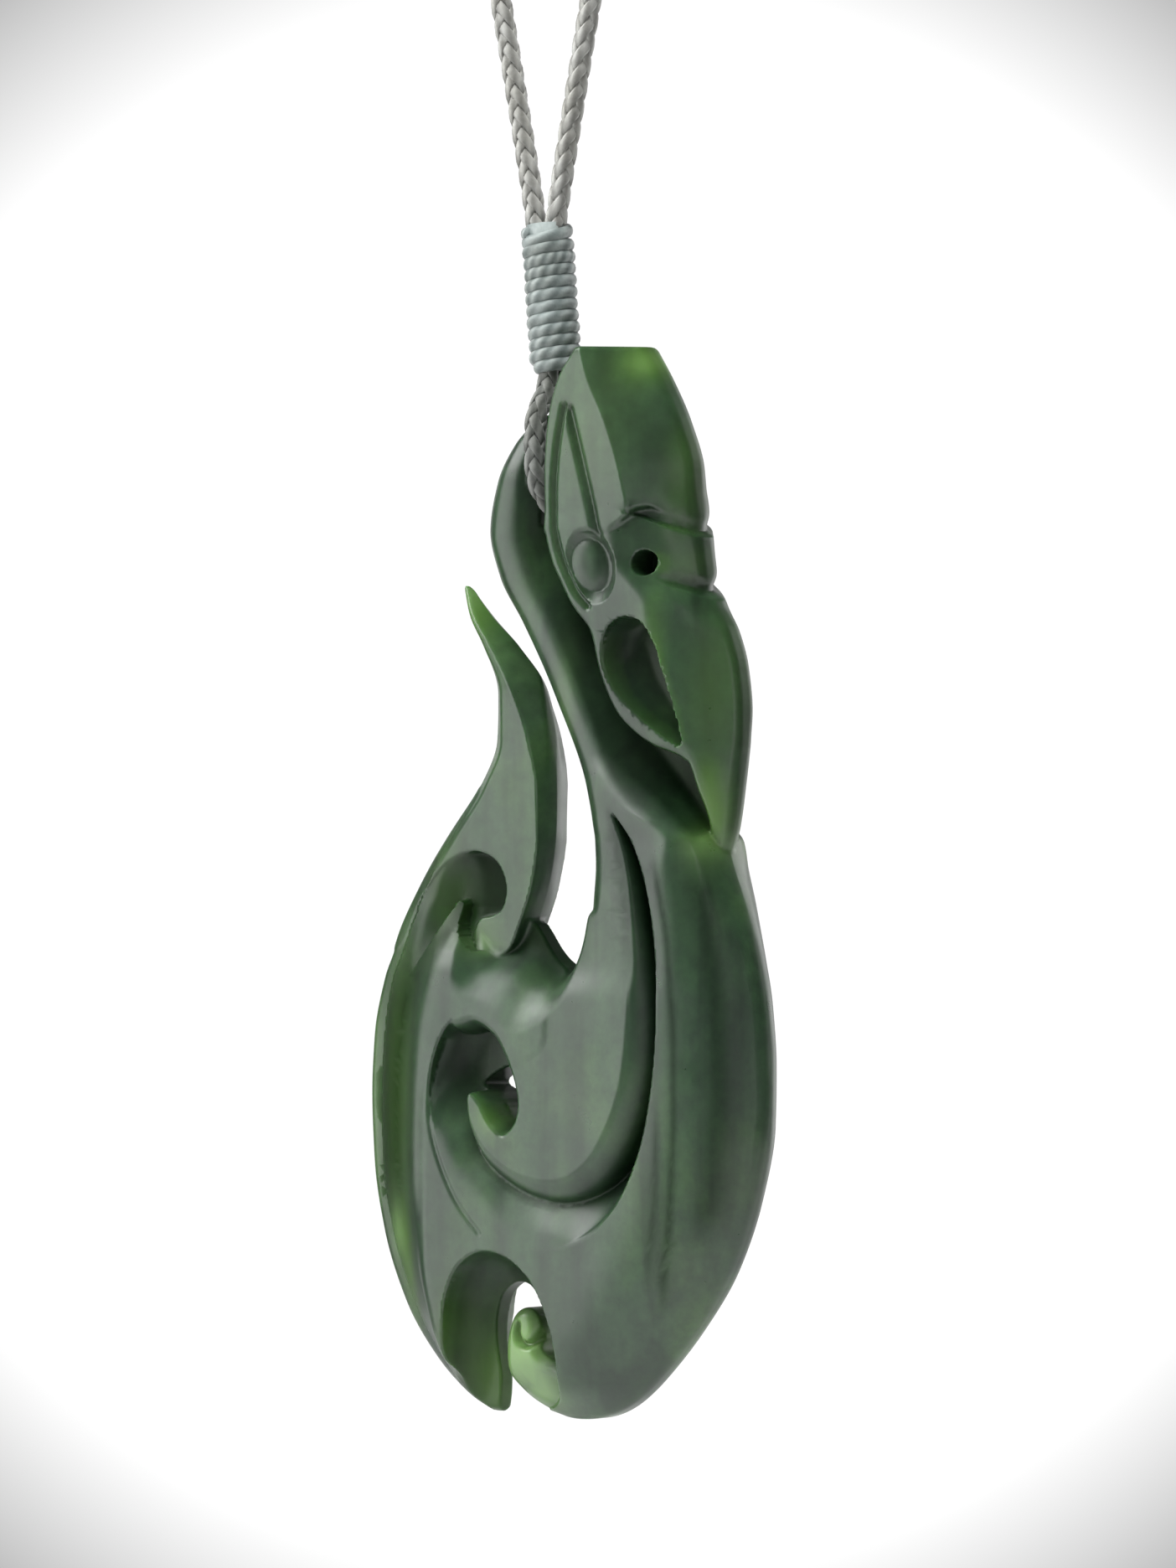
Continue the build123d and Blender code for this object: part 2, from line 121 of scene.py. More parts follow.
LEFT = [
    (-24, -9.6, 0.7, -9, 0.9, -7, 0.9, -5, 0.7),
    (-30, -14.5, 0.9, -13.2, 1.35, -8.5, 1.6, -6, 1.2),
    (-33, -16.5, 1, -14.9, 1.45, -8.5, 1.7, -6, 1.3),
    (-36, -18.2, 1.1, -16.3, 1.6, -10.4, 3, -3, 3.1),
    (-38, -19, 1.15, -17.1, 1.65, -10.8, 4.2, -1.2, 4.3),
    (-40, -19.9, 1.2, -18.1, 1.65, -11.2, 4.7, 1.4, 4.75),
    (-45, -21.1, 1.25, -19.2, 1.6, -12.4, 4.8, 1.4, 4.8),
    (-50, -21.4, 1.25, -19.6, 1.55, -12.9, 4.8, -5, 4.3),
    (-56, -21.1, 1.25, -19.4, 1.55, -13.1, 4.8, -5, 4.3),
    (-62, -19.9, 1.25, -18.2, 1.55, -12.4, 4.8, -5, 4.3),
    (-68, -17.4, 1.2, -15.6, 1.6, -11.1, 4.7, -6.5, 4.1),
    (-72.5, -14.1, 1, -12.6, 1.4, -9.7, 3.4, -7.2, 1.2),
    (-75.5, -10.6, 0.8, -9.7, 1.1, -8.4, 1.4, -6.6, 0.9),
    (-76.7, -8.4, 0.6, -8, 0.7, -7.4, 0.8, -6.6, 0.6),
]
TUSK = [
    (-6.9, -11.6, 0.2, -11.4, 0.3, -11.2, 0.3, -11, 0.2),
    (-9.5, -10.7, 0.3, -10, 1.2, -9.4, 1.3, -8.7, 0.3),
    (-12, -9.1, 0.4, -8.1, 1.7, -7.2, 1.9, -5.9, 0.4),
    (-16, -7.5, 0.5, -6, 2, -4.4, 2.3, -2.6, 0.4),
    (-20, -7.6, 0.5, -5.9, 2, -2.7, 2.3, -1.6, 0.4),
    (-24, -9.6, 0.5, -7.8, 1.9, -1.9, 2.1, -1.4, 0.4),
    (-28, -12.8, 0.6, -11, 1.8, -1.9, 2, -1.5, 0.4),
    (-32, -15.7, 0.7, -14, 1.6, -2.6, 1.9, -2.2, 0.4),
    (-36, -18.2, 0.8, -16.5, 1.5, -4.2, 1.9, -3.8, 0.4),
    (-40, -19.8, 0.8, -18.2, 1.5, -6.2, 1.9, -5.8, 0.4),
]
CROWN = [
    (12.75, 4.4, 4.7, 5.2, 5, 7.1, 3, 8.7, 1),
    (10, 2.5, 4.8, 6.2, 5.1, 8.6, 3.1, 10.6, 1),
    (6.5, 1.5, 4.85, 8.2, 5.3, 10.4, 3.2, 12.5, 1),
    (2.5, 1.15, 4.85, 9.8, 5.4, 11.9, 3.2, 13.9, 1),
    (-2.6, 1.2, 4.75, 11, 5.2, 12.7, 3.2, 14.2, 1),
]
FACE = [
    (1.6, 1.5, 3.9, 9, 4.3, 12, 2.7, 13.4, 0.8),
    (-0.4, 1.35, 4.4, 9, 4.8, 12.6, 3, 14.2, 0.95),
    (-2.4, 1.25, 4.85, 8.9, 5.05, 12.9, 3.2, 14.7, 1),
    (-5, 1.8, 4.7, 8.8, 4.8, 13, 3, 15.1, 1),
    (-7, 2.75, 4.5, 10.6, 4.6, 13.4, 3.2, 15.5, 1),
    (-8.8, 3.8, 4.4, 12.1, 4.5, 14.4, 3.3, 16.3, 1),
    (-11, 5.6, 4.15, 12.3, 4.35, 14.9, 3.2, 17.7, 1),
    (-14, 6.3, 3.95, 13.1, 4.1, 15.3, 3.2, 18.7, 1),
    (-17.5, 7.9, 3.7, 14, 3.8, 16, 3, 19.1, 1),
    (-20.1, 10.8, 3.3, 14.9, 3.4, 16.6, 2.6, 19, 0.9),
    (-20.9, 12.6, 3.1, 15.3, 3.15, 16.8, 2.5, 18.9, 0.9),
    (-21.6, 14.9, 2.9, 15.6, 2.95, 16.9, 2.4, 18.8, 0.9),
    (-24, 15.6, 2.4, 16.1, 2.4, 17.2, 2, 18.5, 0.8),
    (-27, 16.3, 1.7, 16.5, 1.7, 17.2, 1.5, 18, 0.8),
    (-30.4, 15.9, 1, 16.2, 1.1, 16.6, 1, 17, 0.7),
]

# Closed outlines and open lines of the carving, seen from the front
TUSK_OUTLINE = [
    (-11.5, -6.8), (-10.8, -9), (-9.1, -12), (-7.6, -15.2), (-7.4, -18), (-8, -21), (-9.8, -24.3), (-12.2, -27.2),
    (-14.6, -30.2), (-17, -34.2), (-18.6, -37.6), (-17.4, -37), (-15.6, -33.6), (-13.6, -31.2), (-12.2, -30.2),
    (-10.4, -29.5), (-8.4, -29.4), (-6.7, -30.1), (-5.8, -31.3), (-5.5, -32.7), (-6, -34.2), (-7.1, -34.8),
    (-8.5, -35.1), (-9, -36.2), (-8.2, -37.4), (-6.6, -38.1), (-5.2, -37.7), (-4, -36.2), (-2.9, -34), (-1.9, -31),
    (-1.4, -27.5), (-1.35, -24), (-1.6, -21), (-2.2, -17.6), (-3.1, -14.6), (-4.9, -12), (-7.6, -9.3), (-10.2, -7.4),
]
WEB = [
    (-1, -2), (-1.2, -5), (1, -8), (2.6, -11), (4.6, -15), (7, -19), (11, -23), (15, -27), (17.2, -28.8), (17.4, -26),
    (14, -21), (10, -16), (8, -12), (6.5, -8), (3.5, -4), (2.6, -2),
]
# The bowl's outer edge: the third column is how far its wall reaches in, the fourth how gently it sets off
CHANNEL_OUT = [
    (7.4, -25.6, 0.6, 0), (9, -26.9, 1.2, 0), (10.4, -28.8, 1.6, 0), (11.6, -31.3, 1.9, 0), (12.5, -34.4, 2.2, 0),
    (13.1, -38.5, 2.6, 0), (13.2, -44, 2.8, 0), (12.6, -49.5, 3, 0), (11.3, -54.4, 3.4, 0), (9, -58.6, 4.2, 0.25),
    (5.9, -61.5, 5.5, 0.65), (2.7, -63.1, 6.3, 1), (-0.5, -63.3, 6.8, 1), (-4.7, -61.8, 7, 1), (-7.5, -59.4, 6.4, 1),
    (-9.8, -56.8, 5.6, 1), (-11.2, -53.7, 5, 1), (-11.7, -50.9, 4.2, 0.6), (-11.4, -47.7, 3.6, 0.1),
    (-10.3, -44.8, 3.2, 0.1), (-8.9, -43.2, 2.6, 0.1),
]
# The third column is how far the koru rolls off from this line before it is at the floor
KORU = [
    (-8.9, -43.2, 1.6), (-6.6, -42.8, 1.6), (-4.2, -44, 1.6), (-2.7, -46.1, 1.4), (-1.8, -48.5, 0.9),
    (-1.5, -50.6, 0.7), (-2, -52.3, 0.7), (-3.5, -53.4, 0.7), (-5, -52.4, 0.7), (-6.2, -50.6, 0.5),
    (-7.1, -49.9, 0.5), (-6.9, -51.6, 0.8), (-5.3, -53.8, 1.6), (-2.6, -55.5, 2), (0.2, -56.2, 2.4), (3, -56, 2.8),
    (5.4, -54.6, 3), (7.4, -51.8, 3.2), (8.9, -48, 3.2), (9.5, -42.6, 3), (9.3, -38, 2.6), (9.05, -35.4, 2.4),
    (8.6, -31.8, 2), (8, -28.5, 1.4), (7.4, -25.6, 0.6),
]
CREASE = [(-10.4, -45.2), (-11.4, -48), (-11.6, -51), (-11.1, -53.6), (-9.9, -56.5), (-8.2, -59.2), (-6, -61.4)]
SADDLE_RIM = [
    (-11.2, -34.2), (-10.9, -36), (-10.4, -37.8), (-9.9, -39.4), (-9.6, -40.8), (-8.8, -41.8), (-7.3, -42.5),
    (-4.5, -43.5), (-2.2, -44.7), (1, -43.7), (3.8, -41.5), (5.3, -39.3), (6, -36.5), (6.2, -33),
]
SADDLE_LOW = [
    (4.6, -31), (4.6, -33.5), (3.9, -36.2), (2.6, -38.6), (0.9, -39.9), (-0.8, -39.1), (-2.6, -38.1), (-4.4, -37.9),
    (-6.6, -37.8), (-8.4, -37), (-9.6, -35.8), (-10.6, -34.4),
]
SADDLE_CLOSE = [(-10.6, -28), (4.6, -28)]
# The gouge that runs from the flute round to the hook. Its outer edge has the bowl's columns. The strip's edge, which
# the gouge rises to, has how far it rolls off. The two are joined under the hook.
GOUGE_OUT = [
    (-17.2, -39.6, 5, 1), (-16.6, -36, 4.6, 1), (-14.9, -32.8, 4, 0.8), (-12.4, -30.4, 2.8, 0.2),
    (-9.8, -29.3, 2.6, 0), (-7.4, -29.5, 2.6, 0), (-5.6, -31, 2.6, 0),
]
STRIP_EDGE = [
    (-10.6, -34, 0.5), (-11.3, -36.4, 1.3), (-11.9, -39, 2.4), (-12.6, -41.6, 3.4), (-14.4, -43.2, 3.4),
    (-16.8, -42.6, 3.4),
]
UNDER_HOOK = [(-4.6, -33), (-4.4, -38), (-8.4, -37.8), (-9.8, -36.2)]
NOTCH = [
    (-13, -78), (-10.9, -73.4), (-10.3, -69.9), (-9.8, -66.7), (-8.4, -64.2), (-5.9, -62.9), (-3.1, -63.3),
    (-0.3, -65.3), (1.5, -68.7), (2.1, -72.2), (1.4, -76), (-4, -79),
]
NOTCH_GAP = [
    (-6.6, -79), (-6.9, -73.5), (-7.4, -70.7), (-7.3, -68.3), (-6.7, -66.7), (-5.3, -65.7), (-3.7, -65.8),
    (-2.4, -67.3), (-1.4, -70), (-0.9, -72.6), (-1.1, -74.6), (-1.3, -79),
]
CURL = [
    (-5.5, -73.2), (-5.75, -71.1), (-5.4, -69.4), (-4.7, -68.2), (-3.5, -67.7), (-2.4, -68.3), (-2.05, -69.4),
    (-2.2, -70.5), (-1.8, -71.4), (-0.6, -72), (2, -73), (3.2, -74.8), (2.4, -76.2), (-0.2, -76.3), (-2.1, -75.7),
    (-3.9, -74.7),
]
CURL_LINE = [(-1.9, -69.8), (-2.5, -70.5), (-3.2, -70.8), (-3.9, -70.6), (-4.3, -69.9), (-4.3, -69.2)]
PIERCE = [
    (-8, -48.9), (-6.2, -47.7), (-4.4, -47.4), (-2.8, -48.4), (-2.2, -50.4), (-2.8, -52), (-4.4, -51.9),
    (-5.6, -50.4), (-7, -49.6),
]
MOUTH = [
    (6.75, -12.6), (7.6, -10.6), (9.4, -9.8), (11.2, -10.2), (12.4, -11.8), (13.2, -14.2), (14.1, -17), (14.7, -19.4),
    (14.6, -20.5), (13.4, -20.2), (11.7, -19.3), (9.9, -18), (8.3, -16.6), (7, -14.6),
]
MOUTH_RIGHT = MOUTH[2:9]
# Ovals: across, up, half width, half height and how far they lean to the left
EYE = (5.65, -5.45, 1.95, 2.3, 12)
EYE_RECESS = (6.2, -5.5, 2.65, 3.3, 12)
LEAF_LEFT = [(3.5, 7.8), (2.8, 4.8), (2.45, 2), (2.35, -0.4), (2.5, -2.6), (3.2, -5.2), (4.4, -7.6), (5.6, -8.8)]
LEAF_RIGHT = [(4.1, 7.4), (5, 4.7), (6, 1.4), (6.7, -1.2), (7.2, -3)]
# Steps: start, end, depth, and how far they fade above and below
BROW = ((11, -1.4), (14.6, -2.9), 0.5, 1, 0.12)
NOSE = ((13.4, -7), (15.9, -8), 0.6, 0.9, 0.2)
# The crown ends on this line, which falls to the right
CROWN_END = ((-2, -2.6), (8.4, -2.6), (9.6, -2), (10.7, -1.2), (11.7, -0.95), (16.5, -2.95))

# The drilled hole's place, radius and floor, and how far the web behind the head comes forward
HOLE_X, HOLE_Z, HOLE_R, HOLE_FLOOR = 11.25, -5.35, 1.05, 1.4
WEB_FRONT = 0.75
# The slot for the cord: half its width, and how far its foot is below the bar's middle. The bar across it: its radius,
# how fast it narrows upward, its height, half its length and how far it sits to the right.
SLOT_HALF, SLOT_DROP = 1.3, 4.85
BAR_R, BAR_TAPER, BAR_TOP, BAR_HALF, BAR_ASIDE = 2.45, 0.45, 4.2, 2.4, 0.3
# How widely each limb's front rounds into its side, forms run into one another, and the edges of cuts are rounded
ROUND = {"trunk": 0.5, "left": 0.8, "tusk": 0.2, "curl": 0.3, "crown": 0.45, "face": 0.5}
LIMB_JOIN, TUSK_JOIN, CURL_JOIN, HEAD_JOIN, BAR_JOIN = 0.4, 0.45, 0.15, 0.2, 0.35
CUT_EDGE, OPEN_EDGE, SLOT_EDGE, HOLE_EDGE = 0.22, 0.2, 0.3, 0.12
# Where the walls of cuts start, in front of all surfaces, and the small step that some of them start with
TOP = 5.3
LIP = 0.45
BOWL_FLOOR, BOWL_RISE = 1.2, 1.4
SADDLE_TOP = 4.85
NOTCH_FLOOR, NOTCH_REACH = 0.8, 3.4
GOUGE_FLOOR, GOUGE_RISE, GOUGE_TOP = 0.6, 2.6, 2.4
CURL_FRONT = 1.9
MOUTH_TOP, MOUTH_DEEP = 4.3, 3.7


def between(t, a, b, slope_a, slope_b, span=1):
    """A smooth way from a to b with these slopes at its ends."""
    return ((2 * t**3 - 3 * t**2 + 1) * a + (t**3 - 2 * t**2 + t) * span * slope_a
            + (-2 * t**3 + 3 * t**2) * b + (t**3 - t**2) * span * slope_b)


def spaced(points, closed=False, per=7):
    """A smooth line through these points, with `per` steps from each to the next. Further columns go along."""
    p = np.array(points, dtype=float)
    spans = len(p) if closed else len(p) - 1
    if closed:
        p = np.vstack([p[-1], p, p[:2]])
    else:
        p = np.vstack([2 * p[0] - p[1], p, 2 * p[-1] - p[-2]])
    out = []
    for i in range(spans):
        a, b, c, d = p[i:i + 4]
        gap = [max(np.linalg.norm((v - u)[:2]), 1e-6) ** 0.5 for u, v in ((a, b), (b, c), (c, d))]
        m1 = gap[1] * ((b - a) / gap[0] - (c - a) / (gap[0] + gap[1]) + (c - b) / gap[1])
        m2 = gap[1] * ((c - b) / gap[1] - (d - b) / (gap[1] + gap[2]) + (d - c) / gap[2])
        out += [between(k / per, b, c, m1, m2) for k in range(per)]
    return np.array(out if closed else out + [p[-2]])


map_x = np.arange(LOW_X - MARGIN, HIGH_X + MARGIN, MAP_STEP)
map_z = np.arange(LOW_Z - MARGIN, HIGH_Z + MARGIN, MAP_STEP)
GX, GZ = np.meshgrid(map_x, map_z)
FAR = 6.0


def line_distance(line, closed=False, columns=()):
    """How far each point of the map is from the line, up to FAR, then the value of each column at the nearest place."""
    out = np.full(GX.shape, FAR)
    values = [np.full(GX.shape, float(np.mean(line[:, c]))) for c in columns]
    for a, b in zip(line, np.roll(line, -1, axis=0)) if closed else zip(line[:-1], line[1:]):
        low = np.minimum(a, b)[:2] - FAR
        high = np.maximum(a, b)[:2] + FAR
        i0, i1 = np.searchsorted(map_x, (low[0], high[0]))
        k0, k1 = np.searchsorted(map_z, (low[1], high[1]))
        x, z = GX[k0:k1, i0:i1], GZ[k0:k1, i0:i1]
        d = (b - a)[:2]
        t = np.clip(((x - a[0]) * d[0] + (z - a[1]) * d[1]) / max(d @ d, 1e-12), 0, 1)
        gone = np.hypot(x - a[0] - t * d[0], z - a[1] - t * d[1])
        nearer = gone < out[k0:k1, i0:i1]
        for c, value in zip(columns, values):
            value[k0:k1, i0:i1][nearer] = (a[c] + t * (b[c] - a[c]))[nearer]
        np.minimum(out[k0:k1, i0:i1], gone, out=out[k0:k1, i0:i1])
    return (out, *values) if values else out


def soften(values, reach):
    """The map with each value spread over about this many millimetres."""
    pad = round(3 * reach / MAP_STEP)
    weight = np.exp(-(np.arange(-pad, pad + 1) * MAP_STEP / reach) ** 2)
    weight /= weight.sum()
    for axis in (0, 1):
        wide = np.pad(values, [(pad, pad) if a == axis else (0, 0) for a in (0, 1)], mode="edge")
        values = np.apply_along_axis(lambda row: np.convolve(row, weight, mode="valid"), axis, wide)
    return values


def inside(line):
    """Which points of the map lie inside a closed line."""
    crossed = np.zeros(GX.shape, dtype=bool)
    for a, b in zip(line, np.roll(line, -1, axis=0)):
        if a[1] == b[1]:
            continue
        k0, k1 = np.searchsorted(map_z, sorted((a[1], b[1])))
        z = map_z[k0:k1, None]
        x = a[0] + (z - a[1]) * (b[0] - a[0]) / (b[1] - a[1])
        crossed[k0:k1] ^= GX[k0:k1] < x
    return crossed


def region(points, smooth=True):
    """Signed distance to a closed outline, positive inside."""
    line = spaced(points, closed=True) if smooth else np.array(points, dtype=float)
    d = line_distance(line, closed=True)
    return np.where(inside(line), d, -d)


def ring_of(*lines):
    """Signed distance to the outline that these lines make together, positive inside."""
    return region(np.vstack([np.array(line)[:, :2] for line in lines]), smooth=False)


def smin(a, b, k):
    """The smaller of two values, with the meeting rounded over k."""
    h = np.clip(0.5 + 0.5 * (b - a) / k, 0, 1)
    return b + (a - b) * h - k * h * (1 - h)


def smax(a, b, k):
    return -smin(-a, -b, k)


def at_heights(table):
    """The table's columns at every height of the map, smooth between its rows."""
    t = np.array(table, dtype=float)[::-1]
    z, v = t[:, 0], t[:, 1:]
    slope = np.diff(v, axis=0) / np.diff(z)[:, None]
    m = np.zeros_like(v)
    m[0], m[-1] = slope[0], slope[-1]
    both = slope[:-1] * slope[1:]
    m[1:-1] = np.where(both > 0, 2 * both / np.where(both > 0, slope[:-1] + slope[1:], 1), 0)
    at = np.clip(map_z, z[0], z[-1])
    i = np.clip(np.searchsorted(z, at) - 1, 0, len(z) - 2)
    h = (z[i + 1] - z[i])[:, None]
    s = ((at - z[i]) / (z[i + 1] - z[i]))[:, None]
    return between(s, v[i], v[i + 1], m[i], m[i + 1], h)


def limb(table, soft, hollow=False, outline=None):
    """Depth of a limb's front all over the map, and signed distance to its outline. A hollow limb's face bends the
    other way at its crest."""
    c = at_heights(table)
    across = [c[:, i:i + 1] for i in range(0, c.shape[1], 2)]
    front = [c[:, i:i + 1] for i in range(1, c.shape[1], 2)]
    sides = [y0 + (GX - x0) * (y1 - y0) / (x1 - x0)
             for x0, y0, x1, y1 in zip(across[:-1], front[:-1], across[1:], front[1:])]
    if hollow:
        depth = smax(sides[0], sides[1], soft)
        depth = np.where(GX < across[1], np.minimum(sides[0], depth), depth)
        depth = smin(smin(depth, sides[2], soft), front[2] + 0 * GX, soft)
    else:
        depth = sides[0]
        for side in sides[1:]:
            depth = smin(depth, side, soft)
    if outline is not None:
        return depth, region(outline)
    rows = [(z, *r) for z, r in zip(map_z[::6], c[::6]) if table[-1][0] <= z <= table[0][0]]
    rows = [table[-1], *rows, table[0]]
    return depth, region([(r[1], r[0]) for r in rows] + [(r[-2], r[0]) for r in rows[::-1]], smooth=False)


def steepness(depth):
    """What turns depth in front of a slope into distance from it, down to a fifth."""
    gz, gx = np.gradient(depth, MAP_STEP)
    return 1 / np.sqrt(1 + np.minimum(gx * gx + gz * gz, 25))


maps = {}


def keep(name, values):
    maps[name] = values.astype(np.float32)


def keep_hollow(name, depth):
    keep(name + "_depth", depth)
    keep(name + "_slope", steepness(depth))


def keep_limb(name, depth, edge):
    keep_hollow(name, depth)
    keep(name + "_edge", edge)


def cove(inward, floor, reach, gentle=0, top=TOP):
    """A wall that drops from its edge at once and runs out level at `floor`, or gently where `gentle` is 1."""
    t = np.clip(inward / reach, 0, 1)
    slow = 0.12 * np.minimum(8 * t, 1) + 0.25 * t + 0.63 * t ** 2.2
    drop = (1 - gentle) * np.sqrt(np.maximum(1 - (1 - t) ** 2, 0)) + gentle * slow
    return np.where(inward < 0, top - 2 * inward, top - (top - floor) * drop)


def roll(inward, floor, reach):
    """A wall that leaves its edge gently and ends steep."""
    t = np.clip(inward / reach, 0, 1)
    drop = 1 - np.sqrt(np.maximum(1 - t ** 2, 0))
    return np.where(inward < 0, TOP - 2 * inward, TOP - LIP * np.minimum(t * 4, 1) - (TOP - LIP - floor) * drop)


def cut(inward, depth):
    """This depth inside a cut's outline. Outside, it rises clear of the stone."""
    return np.where(inward > 0, depth, TOP - 2 * inward)


def groove(line, wide, deep):
    """How much a groove along this line takes away."""
    d = line_distance(spaced(line))
    return deep * np.exp(-(d / wide) ** 2)


def oval(x, z, wide, high, lean):
    """How far out each point is in an oval that leans to the left by `lean` degrees: 1 on its edge."""
    a = math.radians(lean)
    u = (GX - x) * math.cos(a) + (GZ - z) * math.sin(a)
    v = (GZ - z) * math.cos(a) - (GX - x) * math.sin(a)
    return np.hypot(u / wide, v / high)


def step_dent(start, end, deep, above, below):
    """The dent of a step that runs from start to end, soft above it and crisp below."""
    a, b = np.array(start), np.array(end)
    along = (b - a) / np.linalg.norm(b - a)
    over = (GZ - a[1]) * along[0] - (GX - a[0]) * along[1]
    run = (GX - a[0]) * along[0] + (GZ - a[1]) * along[1]
    fade = 1 / (1 + np.exp(-(run + 0.5) / 0.35))
    return deep * fade * np.where(over > 0, np.exp(-(over / above) ** 2), np.exp(-(over / below) ** 2))


# The trunk is the neck arch and the right lobe
trunk_right = [(r[-2], r[0]) for r in TRUNK[::-1]]
keep_limb("trunk", *limb(TRUNK, 0.9, outline=TRUNK_LEFT + TRUNK_FOOT + trunk_right[1:]))
keep_limb("left", *limb(LEFT, 0.5, hollow=True))
tusk_depth, tusk_edge = limb(TUSK, 0.25, outline=TUSK_OUTLINE)
keep_limb("tusk", tusk_depth, tusk_edge)
keep("web_edge", region(WEB))

# The channel and bowl round the koru
channel, koru = spaced(CHANNEL_OUT), spaced(KORU)
out_line, out_reach, out_gentle = line_distance(channel, columns=(2, 3))
koru_line, koru_reach = line_distance(koru, columns=(2,))
bowl = ring_of(channel, koru)
gentle = np.clip(soften(out_gentle, 1.2), 0, 1)
bowl_floor = BOWL_FLOOR + BOWL_RISE * gentle
outer_wall = cove(np.where(bowl > 0, out_line, bowl), bowl_floor, soften(out_reach, 0.5), gentle)
inner_wall = roll(np.where(bowl > 0, koru_line, bowl), bowl_floor, soften(koru_reach, 0.5))
keep_hollow("bowl", cut(bowl, smax(outer_wall, inner_wall, 0.5)))

# The saddle between the hook and the neck, which falls from its rim and ever faster to its low side
saddle_rim, saddle_low = spaced(SADDLE_RIM), spaced(SADDLE_LOW)
saddle, lowest = ring_of(saddle_rim, saddle_low), ring_of(saddle_low, SADDLE_CLOSE)
in_saddle = np.maximum(saddle, lowest) > 0
low_line, rim_line = line_distance(saddle_low), line_distance(saddle_rim)
share = np.clip(soften(np.where(lowest > 0, 0, low_line / (low_line + rim_line + 1e-6)), 1.1), 0, 1)
fall = (1 - share) * (1 - np.exp(-rim_line / 0.5))
saddle_depth = SADDLE_TOP + LIP * np.exp(-rim_line / 0.2) - 1.7 * fall - 2.35 * fall ** 4
keep_hollow("saddle", np.where(in_saddle, saddle_depth, TOP - 2 * saddle))

# The gouge beside the hook, with a floor that rises toward the flute
gouge_out, strip_edge = spaced(GOUGE_OUT), spaced(STRIP_EDGE)
gouge = ring_of(gouge_out, UNDER_HOOK, strip_edge)
gouge_floor = GOUGE_FLOOR + GOUGE_RISE * np.clip((-34.0 - GZ) / 6, 0, 1) ** 1.2
gouge_line, gouge_reach, gouge_gentle = line_distance(gouge_out, columns=(2, 3))
gouge_gentle = np.clip(soften(gouge_gentle, 0.6), 0, 1)
strip_line, strip_reach = line_distance(strip_edge, columns=(2,))
gouge_wall = cove(gouge_line, gouge_floor, soften(gouge_reach, 0.6), gouge_gentle, GOUGE_TOP)
keep_hollow("gouge", cut(gouge, smax(gouge_wall, roll(strip_line, gouge_floor, soften(strip_reach, 0.4)), 0.5)))

# The notch at the foot and what is in it
notch = region(NOTCH)
keep_hollow("notch", cove(notch, NOTCH_FLOOR, NOTCH_REACH))
keep("notch_gap", region(NOTCH_GAP))
curl = region(CURL)
curl_rim = np.exp(-(np.maximum(curl, 0) / 0.5) ** 2)
keep_limb("curl", CURL_FRONT - 0.5 * curl_rim - groove(CURL_LINE, 0.32, 0.7), curl)
keep("pierce", region(PIERCE))

# The head
leaf = np.maximum(groove(LEAF_LEFT, 0.3, 0.42), groove(LEAF_RIGHT, 0.42, 0.45))
crown_depth, crown_edge = limb(CROWN, 0.2)
crown_end = np.interp(map_x, *zip(*CROWN_END))[None, :]
crown_edge = np.minimum(crown_edge, (GZ - crown_end) * 0.93)
keep_limb("crown", crown_depth - leaf, crown_edge)
face_depth, face_edge = limb(FACE, 0.4)
recess = np.clip((1 - oval(*EYE_RECESS)) * 2.6, 0, 1)
dome = face_depth - 0.4 - 0.17 * (GX - EYE[0]) - 0.4 * np.minimum(oval(*EYE), 1.6) ** 3
face_depth = smax(face_depth - np.maximum(leaf, 0.95 * recess), np.where(recess > 0, dome, 0), 0.1)
keep_limb("face", face_depth, face_edge)
keep("steps", step_dent(*BROW) + step_dent(*NOSE))
keep("crease", groove(CREASE, 0.25, 0.1))
mouth = region(MOUTH)
mouth_right = line_distance(spaced(MOUTH_RIGHT))
inner = np.maximum(mouth, 0)
slope = np.clip(soften(inner / (inner + 0.55 * mouth_right + 1e-6), 0.25), 0, 1)
keep_hollow("mouth", cut(mouth, MOUTH_TOP - MOUTH_DEEP * np.sin(slope * math.pi / 2)))

# Painted shade: how dark each part of the carving is painted, where it is cut deep, on the slope behind the beak, and
# in the flute
trunk_crest = at_heights(TRUNK)[:, 4:5]
behind_beak = (GX > trunk_crest + 0.4) * (face_edge < 0) * (crown_edge < 0) * np.clip((GZ + 29.5) / 2, 0, 1)
under_tusk = (np.maximum(gouge, lowest) > -0.3) * np.exp(-(np.hypot(GX + 8.6, GZ + 33.0) / 5.0) ** 2)
left_rows = at_heights(LEFT)
crest, shoulder = left_rows[:, 2:3], left_rows[:, 4:5]
flute_share = np.clip((GX - crest) / (shoulder - crest), -0.1, 1.1)
flute_dark = np.interp(map_z, (-70, -62, -56, -42, -33), (0, 0.35, 1.15, 1.15, 0.4))[:, None]
in_flute = (flute_share > 0) * (flute_share < 1) * flute_dark * (0.6 + 0.6 * flute_share)
shade = np.maximum.reduce([
    (bowl > 0) * (1 - gentle) * np.interp(map_x, (-4, 4), (0.75, 1)),
    (notch > 0) * 0.6,
    0.95 * under_tusk,
    (mouth > 0) * (0.3 + 0.6 * slope),
    in_saddle * (1 - share) ** np.interp(map_x, (-6, 0), (4, 1.8))[None, :],
    behind_beak * np.interp(map_z, (-24, -8), (0.95, 0.6))[:, None],
    0.8 * groove(CREASE, 0.4, 1.0),
    np.minimum(in_flute, 1),
])
shade = np.where(np.maximum(tusk_edge, curl) > -0.1, 0, shade)
keep("shade", soften(shade, 0.25))


